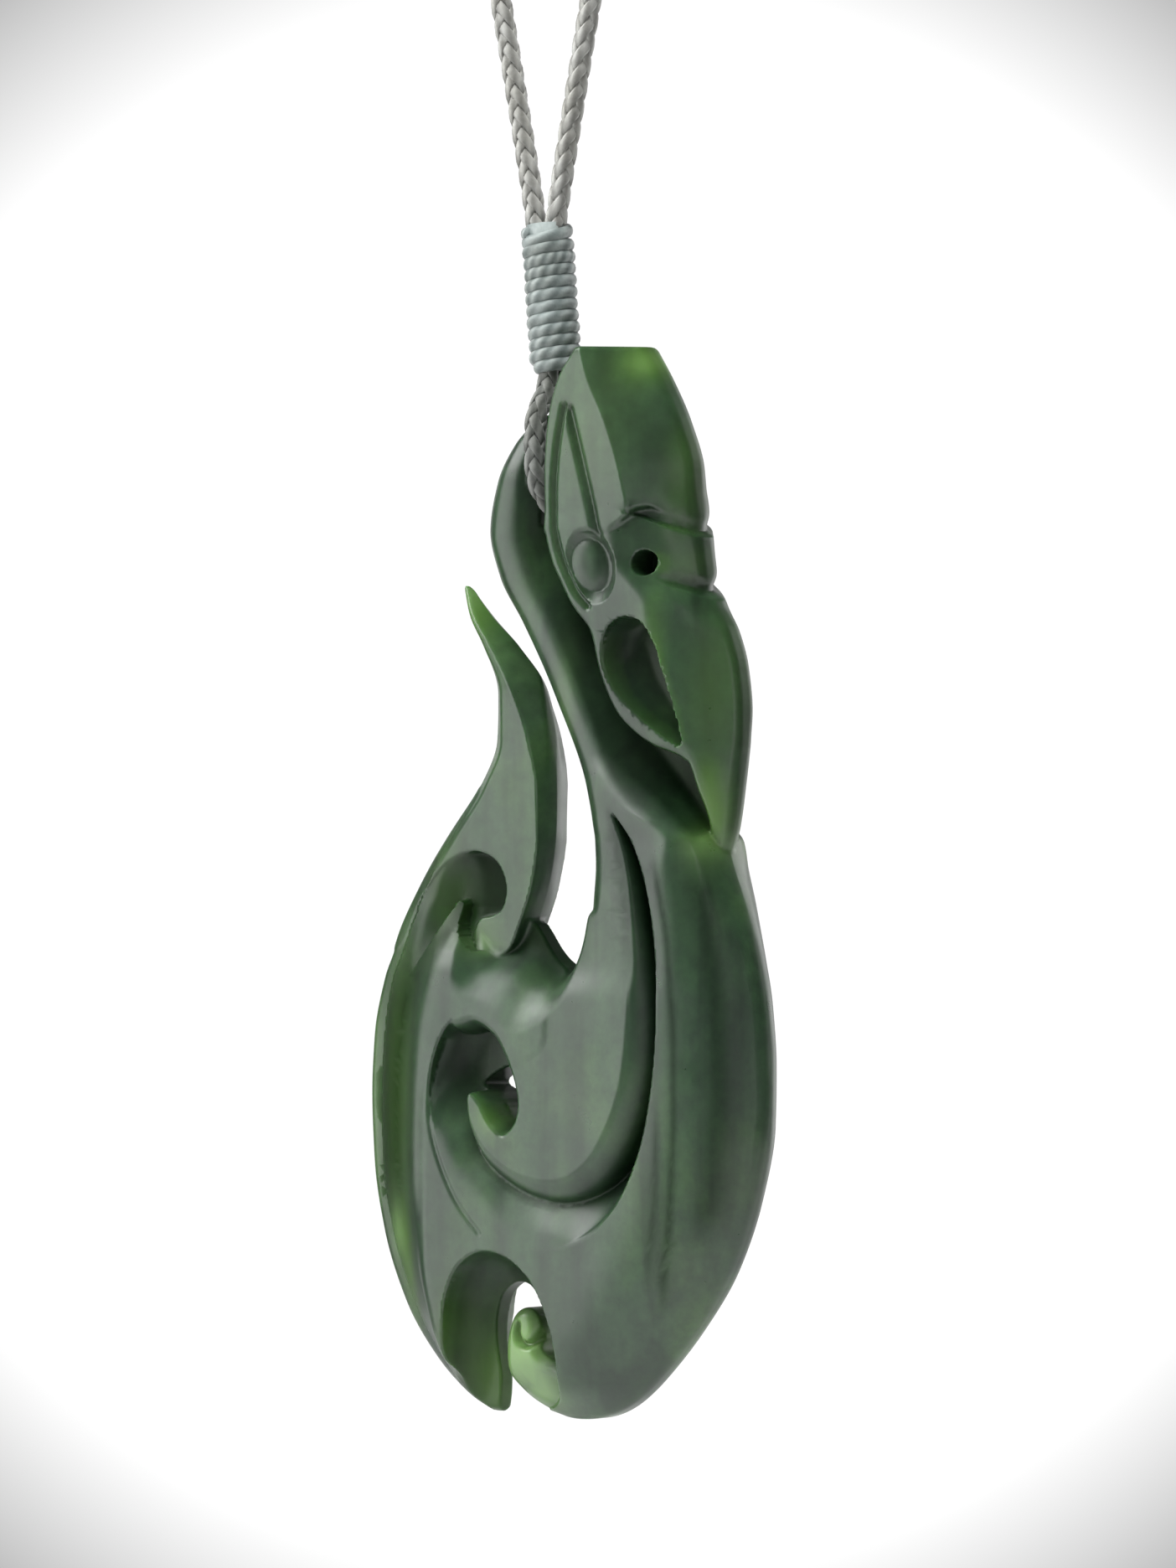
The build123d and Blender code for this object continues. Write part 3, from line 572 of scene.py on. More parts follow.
def reader(p):
    """What reads a map by its name at loose points."""
    gx = np.clip((p[:, 0] - map_x[0]) / MAP_STEP, 0, len(map_x) - 1.001)
    gz = np.clip((p[:, 2] - map_z[0]) / MAP_STEP, 0, len(map_z) - 1.001)
    i, k = gx.astype(int), gz.astype(int)
    u, v = gx - i, gz - k

    def at(name):
        m = maps[name]
        return (m[k, i] * (1 - u) + m[k, i + 1] * u) * (1 - v) + (m[k + 1, i] * (1 - u) + m[k + 1, i + 1] * u) * v

    return at


def hollow_of(name, y, at):
    return (y - at(name + "_depth")) * at(name + "_slope")


def solid_of(name, y, at):
    return smax(hollow_of(name, y, at), -at(name + "_edge"), ROUND[name])


def stone(x, y, z, at):
    """Below zero inside the stone. y is the distance from the middle plane."""
    body = smin(solid_of("trunk", y, at), solid_of("left", y, at), LIMB_JOIN)
    for name in ("bowl", "saddle", "gouge", "notch"):
        body = smax(body, hollow_of(name, y, at), CUT_EDGE)
    body = smin(body + at("crease"), solid_of("tusk", y, at), TUSK_JOIN)
    for name in ("notch_gap", "pierce"):
        body = smax(body, at(name), OPEN_EDGE)
    body = smin(body, solid_of("curl", y, at), CURL_JOIN)
    head = smin(solid_of("crown", y, at), solid_of("face", y, at), LIMB_JOIN)
    head = smax(head + at("steps"), hollow_of("mouth", y, at), OPEN_EDGE)
    web = smax(y - WEB_FRONT, -at("web_edge"), OPEN_EDGE)
    body = smin(smin(body, web, LIMB_JOIN), head, HEAD_JOIN)
    slot = smax(np.abs(x - BAR_X) - SLOT_HALF, (BAR_Z - SLOT_DROP) - z, SLOT_EDGE)
    body = smax(body, -slot, OPEN_EDGE)
    rise = np.clip(z - BAR_Z, 0, BAR_TOP)
    bar = np.hypot(y, np.minimum(z - BAR_Z, 0)) - (BAR_R - BAR_TAPER * rise)
    bar = smax(bar, z - BAR_Z - BAR_TOP, SLOT_EDGE)
    bar = smax(bar, np.abs(x - BAR_X - BAR_ASIDE) - BAR_HALF, OPEN_EDGE)
    body = smin(body, bar, BAR_JOIN)
    hole = smax(np.hypot(x - HOLE_X, z - HOLE_Z) - HOLE_R, HOLE_FLOOR - y, OPEN_EDGE)
    return smax(body, -hole, HOLE_EDGE)


def field_at(p):
    """The stone's field at loose points."""
    return stone(p[:, 0], np.abs(p[:, 1]), p[:, 2], reader(p))


def field_slope(p, step=0.08):
    """The field's slope at loose points, over this many millimetres to each side."""
    g = np.empty_like(p)
    for axis in range(3):
        move = np.zeros(3)
        move[axis] = step
        g[:, axis] = (field_at(p + move) - field_at(p - move)) / (2 * step)
    return g


def lattice_surface():
    """Corners and faces of the stone's surface, drawn from a lattice of field values."""
    step = MAP_STEP * LATTICE
    xs, zs = map_x[::LATTICE], map_z[::LATTICE]
    half = np.arange(0, HIGH_Y + MARGIN, step)
    f = np.empty((len(zs), len(half), len(xs)), dtype=np.float32)
    for j, y in enumerate(half):
        f[:, j, :] = stone(GX[::LATTICE, ::LATTICE], y, GZ[::LATTICE, ::LATTICE],
                           lambda name: maps[name][::LATTICE, ::LATTICE])
    f = np.concatenate([f[:, :0:-1], f], axis=1)
    low = f < 0
    nz, ny, nx = f.shape
    corners = [(a, b, c) for a in (0, 1) for b in (0, 1) for c in (0, 1)]
    count = np.zeros((nz - 1, ny - 1, nx - 1), dtype=np.int8)
    for dz, dy, dx in corners:
        count += low[dz:nz - 1 + dz, dy:ny - 1 + dy, dx:nx - 1 + dx]
    cell = np.argwhere((count > 0) & (count < 8))
    index = np.full(count.shape, -1, dtype=np.int64)
    index[tuple(cell.T)] = np.arange(len(cell))
    total, hits = np.zeros((len(cell), 3)), np.zeros((len(cell), 1))
    for a in corners:
        for axis in range(3):
            if a[axis]:
                continue
            b = list(a)
            b[axis] = 1
            fa, fb = f[tuple((cell + a).T)], f[tuple((cell + b).T)]
            cross = (fa < 0) != (fb < 0)
            t = np.where(cross, fa / np.where(cross, fa - fb, 1), 0)
            point = np.array(a) + t[:, None] * (np.array(b) - np.array(a))
            total += point * cross[:, None]
            hits += cross[:, None]
    where = cell + total / hits
    points = np.stack([xs[0] + where[:, 2] * step, where[:, 1] * step - half[-1], zs[0] + where[:, 0] * step], axis=1)
    quads = []
    for axis in range(3):
        a, b = [slice(None)] * 3, [slice(None)] * 3
        a[axis], b[axis] = slice(0, -1), slice(1, None)
        cross = np.argwhere(low[tuple(a)] != low[tuple(b)])
        others = [o for o in range(3) if o != axis]
        cross = cross[np.all([(cross[:, o] > 0) & (cross[:, o] < f.shape[o] - 1) for o in others], axis=0)]
        ring = []
        for steps in ((-1, -1), (0, -1), (0, 0), (-1, 0)):
            at = cross.copy()
            at[:, others] += steps
            ring.append(index[tuple(at.T)])
        quad = np.stack(ring, axis=1)
        flip = low[tuple(cross.T)] ^ (axis == 1)
        quad[flip] = quad[flip][:, ::-1]
        quads.append(quad)
    return points, np.concatenate(quads)


def to_world(p):
    return np.stack([(p[:, 0] - BAR_X + BAR.x) * MM, p[:, 1] * MM, (p[:, 2] - BAR_Z + BAR.z) * MM], axis=1)


def to_stone(p):
    return np.stack([p[:, 0] / MM - BAR.x + BAR_X, p[:, 1] / MM, p[:, 2] / MM - BAR.z + BAR_Z], axis=1)


def settle(p, turns=3):
    """The points moved onto the stone's surface."""
    for _ in range(turns):
        f = field_at(p)
        g = field_slope(p)
        size = np.maximum((g * g).sum(axis=1), 0.05)
        move = -(f / size)[:, None] * g
        far = np.linalg.norm(move, axis=1, keepdims=True)
        p = p + move * np.minimum(1, 0.1 / np.maximum(far, 1e-9))
    return p


def points_of(mesh):
    """A mesh's points in the stone's frame."""
    flat = np.empty(3 * len(mesh.vertices))
    mesh.vertices.foreach_get("co", flat)
    return to_stone(flat.reshape(-1, 3))


def outward(p):
    """The way straight out of the stone at each point."""
    g = field_slope(p, 0.06)
    return g / np.maximum(np.linalg.norm(g, axis=1, keepdims=True), 1e-9)


def add_object(name, mesh):
    mesh.polygons.foreach_set("use_smooth", [True] * len(mesh.polygons))
    obj = bpy.data.objects.new(name, mesh)
    bpy.context.scene.collection.objects.link(obj)
    return obj


def make_object(name, points, faces):
    mesh = bpy.data.meshes.new(name)
    mesh.from_pydata(points.tolist(), [], faces)
    mesh.update()
    return add_object(name, mesh)


def make_stone():
    """The lattice's surface with fewer faces, settled on the field again and shaded by it."""
    points, quads = lattice_surface()
    rough = make_object("stone", to_world(settle(points)), quads.tolist())
    fewer = rough.modifiers.new("fewer", "DECIMATE")
    fewer.ratio = min(1.0, TRIANGLES / (2 * len(quads)))
    depsgraph = bpy.context.evaluated_depsgraph_get()
    mesh = bpy.data.meshes.new_from_object(rough.evaluated_get(depsgraph))
    bpy.data.objects.remove(rough)
    p = settle(points_of(mesh))
    mesh.vertices.foreach_set("co", to_world(p).ravel())
    mesh.update()
    obj = add_object("stone", mesh)
    mesh.normals_split_custom_set_from_vertices(outward(p).tolist())
    return obj


class Nodes:
    """The nodes of a material or of the world."""

    def __init__(self, owner):
        owner.use_nodes = True
        self.nodes, self.links = owner.node_tree.nodes, owner.node_tree.links

    def put(self, socket, value):
        """Link a socket to another node's output, or set it to a number, a vector or a colour."""
        if isinstance(value, bpy.types.NodeSocket):
            self.links.new(value, socket)
        elif isinstance(value, (int, float)) or len(value) == len(socket.default_value):
            socket.default_value = value
        else:
            socket.default_value = (*value, 1)

    def feed(self, node, **settings):
        """Set a node's inputs, with _ for a space in their names, and its other properties."""
        for name, value in settings.items():
            socket = node.inputs.get(name.replace("_", " "))
            if socket is None:
                setattr(node, name, value)
            else:
                self.put(socket, value)
        return node

    def add(self, kind, **settings):
        return self.feed(self.nodes.new("ShaderNode" + kind), **settings)

    def maths(self, operation, *values):
        node = self.add("Math", operation=operation)
        for socket, value in zip(node.inputs, values):
            self.put(socket, value)
        return node.outputs[0]

    def ramp(self, share, *stops):
        """The colour at this share. Each stop has its place and a colour or a grey."""
        node = self.nodes.new("ShaderNodeValToRGB")
        elements = node.color_ramp.elements
        while len(elements) < len(stops):
            elements.new(0.5)
        for element, (place, colour) in zip(elements, stops):
            element.position = place
            element.color = (*colour, 1) if isinstance(colour, tuple) else (colour, colour, colour, 1)
        self.links.new(share, node.inputs["Fac"])
        return node.outputs["Color"]

    def mix(self, share, a, b, blend="MIX"):
        node = self.add("Mix", data_type="RGBA", blend_type=blend)
        for socket, value in ((node.inputs["Factor"], share), (node.inputs[6], a), (node.inputs[7], b)):
            self.put(socket, value)
        return node.outputs[2]

    def noise(self, scale, detail, rough, stretch=(1, 1, 1), warp=0.0):
        where = self.nodes.new("ShaderNodeTexCoord")
        spread = self.add("Mapping", Vector=where.outputs["Object"], Scale=stretch)
        return self.add("TexNoise", Vector=spread.outputs["Vector"], Scale=scale, Detail=detail, Roughness=rough,
                        Distortion=warp).outputs["Fac"]

    def bump(self, height, strength, distance):
        return self.add("Bump", Strength=strength, Distance=distance, Height=height).outputs["Normal"]

    def shader(self, **settings):
        self.feed(self.nodes["Principled BSDF"], **settings)


def nephrite():
    """Cloudy, streaked and grained green. The stone's points carry painted light and shade: painted glow where light
    shows through it, paler painted light, and painted shade, with the dark lines, where it is darker and less glossy."""
    material = bpy.data.materials.new("nephrite")
    n = Nodes(material)
    glow, pale, deep = (n.add("Attribute", attribute_name=name).outputs["Fac"] for name in ("glow", "pale", "deep"))
    cloud = n.ramp(n.noise(95, 5.0, 0.6, (1, 1, 0.55), 0.6),
                   (0.32, (0.017, 0.042, 0.021)), (0.52, (0.029, 0.067, 0.03)), (0.75, (0.045, 0.1, 0.032)))
    streak = n.ramp(n.noise(230, 3.0, 0.5, (1, 1, 0.07), 0.35), (0.4, (0.5, 0.55, 0.55)), (0.56, 1))
    grain = n.ramp(n.noise(850, 6.0, 0.7), (0.35, (0.8, 0.8, 0.82)), (0.65, (1.14, 1.14, 1.1)))
    colour = n.mix(1.0, n.mix(1.0, cloud, streak, "MULTIPLY"), grain, "MULTIPLY")
    colour = n.mix(glow, colour, (0.075, 0.17, 0.022))
    colour = n.mix(pale, colour, (0.2, 0.36, 0.11))
    # Painted shade: the colour is darkened where the stone is marked deep
    colour = n.mix(1.0, colour, n.ramp(deep, (0.0, 1), (1.0, (0.22, 0.26, 0.22))), "MULTIPLY")
    shine = n.ramp(n.noise(320, 6.0, 0.6), (0.3, 0.27), (0.7, 0.37))
    # The painted shade also dims the gloss where the stone is marked deep, and it is rougher there
    n.shader(Base_Color=colour, Roughness=n.mix(deep, shine, (0.48, 0.48, 0.48)),
             Specular_IOR_Level=n.ramp(deep, (0.0, 0.5), (1.0, 0.05)), IOR=1.62,
             Subsurface_Weight=0.25, Subsurface_Radius=(0.35, 1.0, 0.3), Subsurface_Scale=0.0016,
             Normal=n.bump(n.noise(1500, 5.0, 0.65), 0.12, 0.00003))
    return material


def thread(name, light, dark, rough):
    """Waxed thread: fibres that wind along each strand, once round in PLY. The strand's map has its length in
    millimetres and its turn."""
    material = bpy.data.materials.new(name)
    n = Nodes(material)
    lay = n.add("UVMap", uv_map="lay")
    apart = n.add("SeparateXYZ", Vector=lay.outputs["UV"])
    turn = n.maths("ADD", n.maths("MULTIPLY", apart.outputs["X"], 1 / PLY), apart.outputs["Y"])
    wave = n.maths("SINE", n.maths("MULTIPLY", turn, 4 * math.pi))
    lines = n.maths("MULTIPLY_ADD", wave, 0.5, 0.5)
    hair = n.maths("MULTIPLY_ADD", n.noise(2600, 4.0, 0.6), 0.9, lines)
    # Painted shade: darker in the grooves between the fibres' turns, lighter on their crests, with fine noise among the
    # fibres
    tone = n.ramp(n.maths("MULTIPLY", hair, 0.6), (0.15, dark), (0.95, light))
    patch = n.ramp(n.noise(260, 3.0, 0.6), (0.35, (0.78, 0.77, 0.74)), (0.65, 1))
    n.shader(Base_Color=n.mix(1.0, tone, patch, "MULTIPLY"), Roughness=rough, Sheen_Weight=0.25, Sheen_Roughness=0.4,
             Normal=n.bump(hair, 0.6, 0.00007))
    return material


# Patches of the stone: across, up, how wide, how tall and how strong.
# GLOW is painted light from behind that shows through green. The next table is painted light as well, paler green: thin
# edges that glow, and a painted highlight along the left rim and down the neck.
GLOW = [
    (9.6, 11.8, 1.8, 2, 0.8), (-10.2, -10.5, 2.4, 3.6, 0.6), (16.9, -25.2, 1.3, 3.8, 0.8), (-16.8, -50, 2.2, 12, 0.6),
    (-15.9, -62.5, 1.2, 6, 0.8), (-8, -73.5, 2.2, 3.2, 0.8), (-9.4, -70.5, 1.4, 4, 0.4), (-12.2, -33, 2.2, 5, 0.3),
    (-5.4, -51.6, 1.5, 1.2, 0.4), (13.6, 3, 1.2, 8, 0.3), (12.6, -12.5, 1, 5, 0.3), (14, -5.5, 2, 2, 0.22),
    (17.5, -16, 2.2, 7, 0.28),
]
PALE_LIGHT = [
    (7.5, 6, 3.5, 7, 0.09), (-20.6, -50, 0.8, 14, 0.2), (9.4, 11.5, 1.1, 1.2, 0.3), (-11.2, -8.2, 1.6, 1.9, 0.3),
    (-3.8, -70.8, 3.2, 3.4, 0.95), (-1.2, -74.6, 2.6, 1.6, 0.55), (-17.2, -61.5, 1, 2.2, 0.6),
    (-6.6, -75.6, 1.3, 1.4, 0.3), (16.6, -28, 1.2, 2, 0.3), (-4.9, -52.6, 1, 0.8, 0.15),
    (-7.6, -36.6, 1.6, 1.4, 0.35), (2, -18, 1.2, 6, 0.16),
]


def patches(table, p):
    """The strongest patch of the table at each point."""
    out = np.zeros(len(p))
    for x, z, wide, tall, much in table:
        out = np.maximum(out, much * np.exp(-((p[:, 0] - x) / wide) ** 2 - ((p[:, 2] - z) / tall) ** 2))
    return out


# Dark lines down the right lobe's front: how wide, how strong and the line of each
DARK_LINES = [(1.2, 0.6, [(15.9, -29.2), (17.6, -36), (18.7, -42), (18.9, -50), (18, -57), (16, -63)]),
         (0.4, 0.65, [(12.6, -29), (14.2, -36), (15, -44), (15, -52), (14.2, -60), (12.6, -68)]),
         (0.3, 0.4, [(13.4, -50), (13, -58), (11.6, -66)])]


def dark_lines(p):
    """How dark the lines are at each point, on the front only."""
    out = np.zeros(len(p))
    for wide, much, line in DARK_LINES:
        line = np.array(line)[::-1]
        middle = np.interp(p[:, 2], line[:, 1], line[:, 0])
        ends = np.clip((p[:, 2] - line[0, 1]) / 4, 0, 1) * np.clip((line[-1, 1] - p[:, 2]) / 3, 0, 1)
        out = np.maximum(out, much * ends * np.exp(-((p[:, 0] - middle) / wide) ** 2) * (p[:, 1] < 0))
    return out


def thickness_of(p, normal):
    """How far the stone goes on straight in from each point, in millimetres, up to the last depth tried."""
    depths = (0.4, 0.8, 1.2, 1.7, 2.3, 3.0, 4.0, 5.5, 7.5)
    out = np.full(len(p), depths[-1])
    open_yet = np.ones(len(p), dtype=bool)
    before = np.full(len(p), -0.01)
    last = 0.0
    for depth in depths:
        f = field_at(p - normal * depth)
        hit = open_yet & (f > 0)
        out[hit] = last + (depth - last) * (-before[hit] / (f[hit] - before[hit]))
        open_yet &= ~hit
        before, last = np.minimum(f, -0.01), depth
    return out


def closed_in(p, normal):
    """The share of points round about, up to 3.4 mm out over the surface, that lie in the stone."""
    across = np.cross(normal, (0.0, 0.0, 1.0))
    across /= np.maximum(np.linalg.norm(across, axis=1, keepdims=True), 1e-6)
    other = np.cross(normal, across)
    looks = [(reach, 2 * math.pi * (k + 0.5) / 6) for reach in (1.3, 3.4) for k in range(6)]
    hits = np.zeros(len(p))
    for reach, turn in looks:
        aside = across * math.cos(turn) + other * math.sin(turn)
        hits += field_at(p + reach * (0.5 * normal + 0.86 * aside)) < 0
    return hits / len(looks)


def colour_stone(obj):
    """Keep on the stone's points the painted light and shade: where it glows, where it is painted pale, and where it is
    painted dark.
    """
    p = points_of(obj.data)
    normal = outward(p)
    # Painted glow where the stone is thin
    thin = np.exp(-(thickness_of(p, normal) / 2.4) ** 1.5)
    # Painted shade from the shade map, fading out on the stone's highest faces
    sunk = reader(p)("shade") * np.clip((4.6 - np.abs(p[:, 1])) / 1.6, 0, 1)
    # Painted shade also where the surface is closed in by stone round about
    deep = np.maximum(sunk, np.clip(1.3 * closed_in(p, normal) - 0.1, 0, 1))
    for name, values in (("glow", np.clip(patches(GLOW, p) + 0.2 * thin, 0, 1)), ("pale", patches(PALE_LIGHT, p)),
                         ("deep", np.maximum(deep, dark_lines(p)))):
        attribute = obj.data.attributes.new(name, "FLOAT", "POINT")
        attribute.data.foreach_set("value", values.astype(np.float32))


stone_piece = make_stone()
colour_stone(stone_piece)
stone_piece.data.materials.append(nephrite())
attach(stone_piece, "stone")
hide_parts("pendant")

# The cords in millimetres: their width, one turn of their fibres, the thread that whips them, and the routes of the
# neck loop and the eye
CORD_D = 1.9
PLY = 2.4
THREAD_PITCH = 1.08
TURNS = 12
EYE_DROP = 8.0
EYE_R = 3.55
BIND_LEN = TURNS * THREAD_PITCH
FORK_Z = 0.5 * CORD_D - 289.2
NECK_ROUTE = [(1, 0), (10.6, 44), (21.9, 97.8), (32.9, 151.7), (42.4, 200.8), (48.3, 234.3), (45.5, 254.1),
              (36.6, 270.9), (22.3, 283.4), (6.3, 289.2)]
EYE_SIDE = [(-1.0, EYE_DROP - 0.5), (-1.7, 0.76 * EYE_DROP), (-0.87 * EYE_R, 0.55 * EYE_DROP),
            (-EYE_R, 0.21 * EYE_DROP), (-EYE_R, -EYE_R * math.tan(math.pi / 8)),
            (-EYE_R * math.tan(math.pi / 8), -EYE_R)]
# Inside the whipping, the legs and the eye end this far to the side and past its end
TAIL_OUT, TAIL_IN = 0.95, 1.6
EYE_IN = 1.5
# The whipping: its radius, how much flatter it is, the thread's half sizes, where it starts, and how its last turns
# slant. Its core has a half width, half thickness and how far it stops short of each end.
WHIP_R, WHIP_FLAT = 1.82, 0.97
WHIP_WIDE, WHIP_THICK = 0.555, 0.43
WHIP_START = math.radians(250)
WHIP_STEPS = 52
SLANT_TURNS, SLANT = 1.6, 0.35
CORE_WIDE, CORE_THICK, CORE_SHORT = 1.75, 1.7, 0.25
# One round of the plait, its start, how far its strands lie from the middle and weave in and out, and their half sizes
PLAIT_ROUND = 7.4
PLAIT_TURN = math.radians(5)
STRANDS_A_WAY = 4
STRAND_OUT, STRAND_WEAVE = 0.6, 0.12
STRAND_WIDE, STRAND_THICK = 0.45, 0.23
CORE_R = 0.5

fork = Vector((0, 0, FORK_Z))
lean = (fork - BAR).normalized()
side = Vector((0, 1, 0))
lash_side = side.cross(lean).normalized()


def smooth_route(name, points):
    """Points in millimetres along a NURBS spline with these control points."""
    data = bpy.data.curves.new(name, "CURVE")
    data.dimensions = "3D"
    spline = data.splines.new("NURBS")
    spline.points.add(len(points) - 1)
    for place, point in zip(spline.points, points):
        place.co = (*(Vector(point) * MM), 1)
    spline.order_u = 3
    spline.use_endpoint_u = True
    data.resolution_u = 24
    holder = bpy.data.objects.new(name, data)
    mesh = bpy.data.meshes.new_from_object(holder)
    line = np.array([v.co for v in mesh.vertices]) / MM
    bpy.data.objects.remove(holder)
    bpy.data.meshes.remove(mesh)
    return line


def stations(line, spacing):
    """Even points along a line, with spacing(distance from the nearer end) between them, and their frames."""
    step = np.linalg.norm(np.diff(line, axis=0), axis=1)
    line = line[np.concatenate([[True], step > 1e-6])]
    gone = np.concatenate([[0], np.cumsum(np.linalg.norm(np.diff(line, axis=0), axis=1))])
    at = [0.0]
    while at[-1] < gone[-1]:
        at.append(at[-1] + spacing(min(at[-1], gone[-1] - at[-1])))
    at = np.array(at) * gone[-1] / at[-1]
    p = np.stack([np.interp(at, gone, line[:, i]) for i in range(3)], axis=1)
    along = np.gradient(p, axis=0)
    along /= np.linalg.norm(along, axis=1, keepdims=True)
    normal = np.empty_like(p)
    n = np.array((0.0, -1.0, 0.0))
    for i, t in enumerate(along):
        n = n - t * (n @ t)
        n /= np.linalg.norm(n)
        normal[i] = n
    return at, p, along, normal, np.cross(along, normal)


class Strands:
    """Strands in one piece. Each face's map has the length along its strand and the turn round it."""

    def __init__(self):
        self.verts, self.faces, self.lays = [], [], []

    def tube(self, path, out_dir, wide, thick, sides, lengths):
        """A strand along path: wide along its side, thick along out_dir."""
        along = np.gradient(path, axis=0)
        along /= np.linalg.norm(along, axis=1, keepdims=True)
        out_dir = out_dir - along * (out_dir * along).sum(axis=1, keepdims=True)
        out_dir /= np.linalg.norm(out_dir, axis=1, keepdims=True)
        across = np.cross(along, out_dir)
        first = len(self.verts)
        for i in range(len(path)):
            for k in range(sides):
                a = 2 * math.pi * k / sides
                self.verts.append(path[i] + out_dir[i] * thick * math.cos(a) + across[i] * wide * math.sin(a))
        for i in range(len(path) - 1):
            u0, u1 = lengths[i], lengths[i + 1]
            for k in range(sides):
                a, b = first + i * sides + k, first + i * sides + (k + 1) % sides
                v0, v1 = k / sides, (k + 1) / sides
                self.faces.append((a, b, b + sides, a + sides))
                self.lays.append(((u0, v0), (u0, v1), (u1, v1), (u1, v0)))
        last = first + (len(path) - 1) * sides
        self.faces += [tuple(first + k for k in range(sides))[::-1], tuple(last + k for k in range(sides))]
        self.lays += [((0, 0),) * sides] * 2

    def make(self, name, material, replaced):
        obj = make_object(name, np.array(self.verts) * MM, self.faces)
        layer = obj.data.uv_layers.new(name="lay")
        layer.data.foreach_set("uv", [c for face in self.lays for corner in face for c in corner])
        obj.data.materials.append(material)
        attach(obj, "cord")
        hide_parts(replaced)


def plait(name, route, spacing, sides, material, replaced):
    """A cord along this route: eight strands that weave over and under each other round a core."""
    at, p, along, normal, cross = stations(smooth_route(name + "_route", route), spacing)
    strands = Strands()
    round_share = 2 * math.pi * at / PLAIT_ROUND
    for way in (1, -1):
        for k in range(STRANDS_A_WAY):
            angle = way * round_share + 2 * math.pi * k / STRANDS_A_WAY + PLAIT_TURN
            over = np.cos(2 * round_share + way * k * math.pi - (0.25 if way > 0 else -1.25) * math.pi)
            out = normal * np.cos(angle)[:, None] + cross * np.sin(angle)[:, None]
            path = p + out * (STRAND_OUT + STRAND_WEAVE * np.tanh(1.6 * over))[:, None]
            strands.tube(path, out, STRAND_WIDE, STRAND_THICK, sides, at * way + 1.7 * k)
    strands.tube(p, normal, CORE_R, CORE_R, 6, at)
    strands.make(name, material, replaced)


def there_and_back(points):
    """A route's control points and their mirror image, back to the start."""
    return points + [(-across, up) for across, up in reversed(points)]


def whipping():
    """The thread wound round the cords, with its last turns slanting over the top."""
    strands = Strands()
    count = TURNS * WHIP_STEPS
    path, out, lengths = [], [], []
    for i in range(count + 1):
        turn = i / WHIP_STEPS
        angle = 2 * math.pi * turn + WHIP_START
        rise = EYE_DROP + 0.5 * THREAD_PITCH + (BIND_LEN - THREAD_PITCH) * i / count
        slant = max(0.0, turn - (TURNS - SLANT_TURNS)) * SLANT * math.sin(angle)
        squeeze = 1 + 0.012 * math.sin(turn * 2.1) + 0.01 * math.sin(turn * 5.3 + 1)
        radius = WHIP_R * squeeze
        ring = lash_side * (radius * math.cos(angle)) + side * (radius * WHIP_FLAT * math.sin(angle))
        path.append(BAR + lean * (rise + slant) + ring)
        out.append(lash_side * math.cos(angle) + side * math.sin(angle))
        lengths.append(2 * math.pi * radius * turn)
    strands.tube(np.array(path), np.array(out), WHIP_WIDE, WHIP_THICK, 12, lengths)
    core = [BAR + lean * (EYE_DROP + z) for z in np.linspace(CORE_SHORT, BIND_LEN - CORE_SHORT, 8)]
    strands.tube(np.array(core), np.array([side] * len(core)), CORE_WIDE, CORE_THICK, 20, [0.0] * len(core))
    strands.make("whipping", whip_finish, "binding")


cord_finish = thread("plaited_cord", (0.47, 0.475, 0.45), (0.2, 0.2, 0.185), 0.5)
# The eye's cord is a darker copy of the cord: painted shade, where it hangs in shade between the neck and the head
shaded_eye_finish = thread("plaited_cord_shaded", (0.205, 0.215, 0.2), (0.062, 0.068, 0.06), 0.55)
whip_finish = thread("whipping_thread", (0.34, 0.385, 0.375), (0.12, 0.15, 0.145), 0.42)

neck_points = there_and_back([(TAIL_OUT, -TAIL_IN)] + NECK_ROUTE)
neck_points = [Vector((x, 0, FORK_Z + z)) for x, z in neck_points]
plait("neck_plait", neck_points, lambda d: 0.25 if d < 26 else 0.56, 8, cord_finish, "neck_cord")
eye_points = there_and_back([(-TAIL_OUT, EYE_DROP + EYE_IN)] + EYE_SIDE)
eye_points = [BAR + side * y + lean * z for y, z in eye_points]
plait("eye_plait", eye_points, lambda d: 0.16, 12, shaded_eye_finish, "cord_eye")
whipping()

# Plain pale floor under the hanging part, soft light from the left and above, and a pale room brighter behind the part
FLOOR_DROP, FLOOR_R = 0.06, 0.32
floor_z = (BAR.z - BAR_Z + LOW_Z) * MM - FLOOR_DROP
bpy.ops.mesh.primitive_circle_add(vertices=96, radius=FLOOR_R, fill_type="NGON", location=(0, 0, floor_z))
floor = bpy.context.object
floor.name = "floor"
floor_finish = bpy.data.materials.new("pale_floor")
Nodes(floor_finish).shader(Base_Color=(0.8, 0.8, 0.8), Roughness=0.7)
floor.data.materials.append(floor_finish)


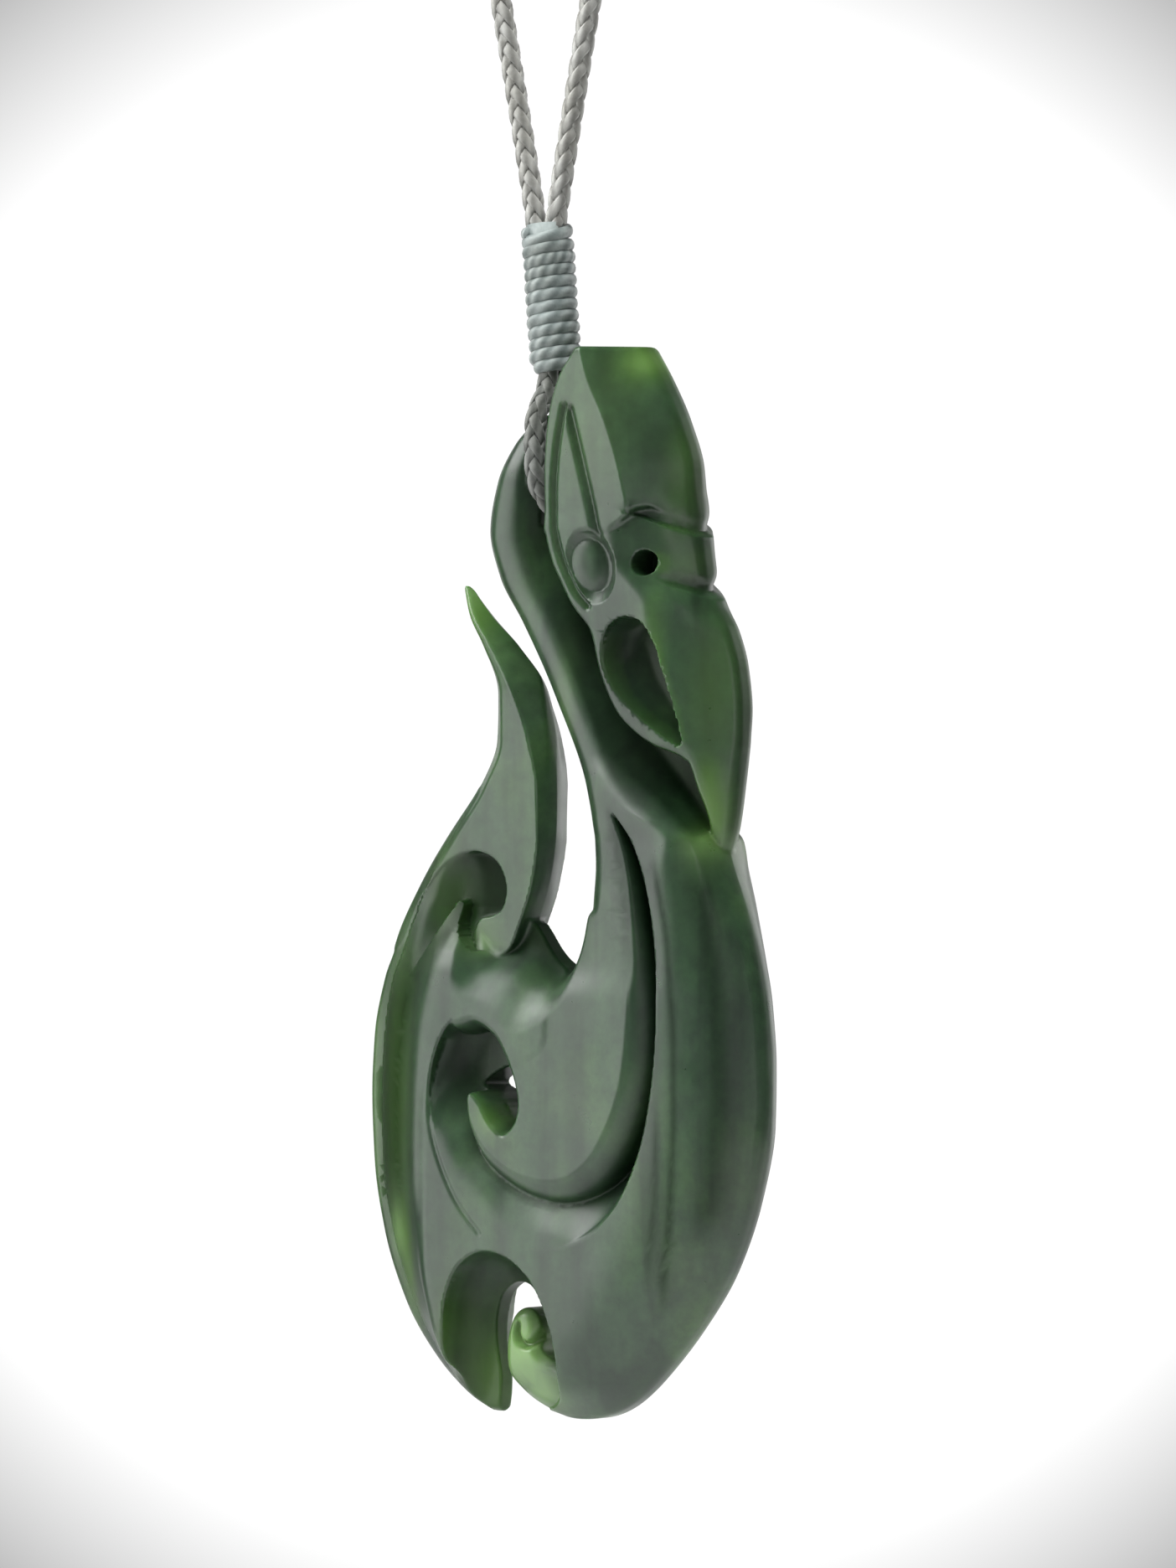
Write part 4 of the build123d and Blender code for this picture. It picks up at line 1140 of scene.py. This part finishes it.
def room():
    """Grey by the way each ray points, from before the part to behind it, with a white patch straight behind it."""
    world = bpy.data.worlds.new("studio")
    bpy.context.scene.world = world
    n = Nodes(world)
    where = n.nodes.new("ShaderNodeTexCoord")
    toward = n.add("VectorMath", operation="DOT_PRODUCT")
    n.put(toward.inputs[0], where.outputs["Generated"])
    n.put(toward.inputs[1], -VIEW_BACK)
    share = n.maths("MULTIPLY_ADD", toward.outputs["Value"], 0.5, 0.5)
    grey = n.ramp(share, (0.0, 0.36), (0.1, 0.15), (0.5, 0.09), (0.92, 0.1), (0.96, 0.9), (0.985, 0.9), (0.993, 0.39))
    near = n.add("MapRange", Value=n.maths("ARCCOSINE", toward.outputs["Value"]), From_Min=math.radians(5.9),
                 From_Max=math.radians(7.6), To_Min=1.0, To_Max=0.0)
    colour = n.mix(near.outputs["Result"], grey, (1.04, 1.04, 1.04))
    n.feed(n.nodes["Background"], Color=colour, Strength=1.0)


def softbox(name, azimuth, up, away, wide, high, power, mirrored=True):
    """A soft light at this azimuth and height above the stone's middle, facing it. One that isn't mirrored doesn't
    show in glossy surfaces."""
    turn = math.radians(azimuth)
    middle = (BAR - Vector((0, 0, 35))) * MM
    place = middle + Vector((math.sin(turn) * away, -math.cos(turn) * away, up))
    data = bpy.data.lights.new(name, "AREA")
    data.shape = "RECTANGLE"
    data.size, data.size_y = wide, high
    data.energy = power
    lamp = bpy.data.objects.new(name, data)
    lamp.location = place
    lamp.rotation_euler = (middle - place).to_track_quat("-Z", "Y").to_euler()
    lamp.visible_glossy = mirrored
    bpy.context.scene.collection.objects.link(lamp)


room()
softbox("left_box", -46, 0.05, 0.6, 0.44, 0.7, 2.3)
softbox("high_left_box", -58, 0.45, 0.55, 0.5, 0.42, 2.6)
softbox("front_right_box", 50, 0.0, 0.7, 0.22, 0.7, 0.35)
softbox("top_box", 10, 0.6, 0.2, 0.4, 0.4, 6.0, mirrored=False)
softbox("back_right_box", 166, 0.0, 0.6, 0.4, 0.7, 1.9)
bpy.context.scene.view_settings.view_transform = "Standard"
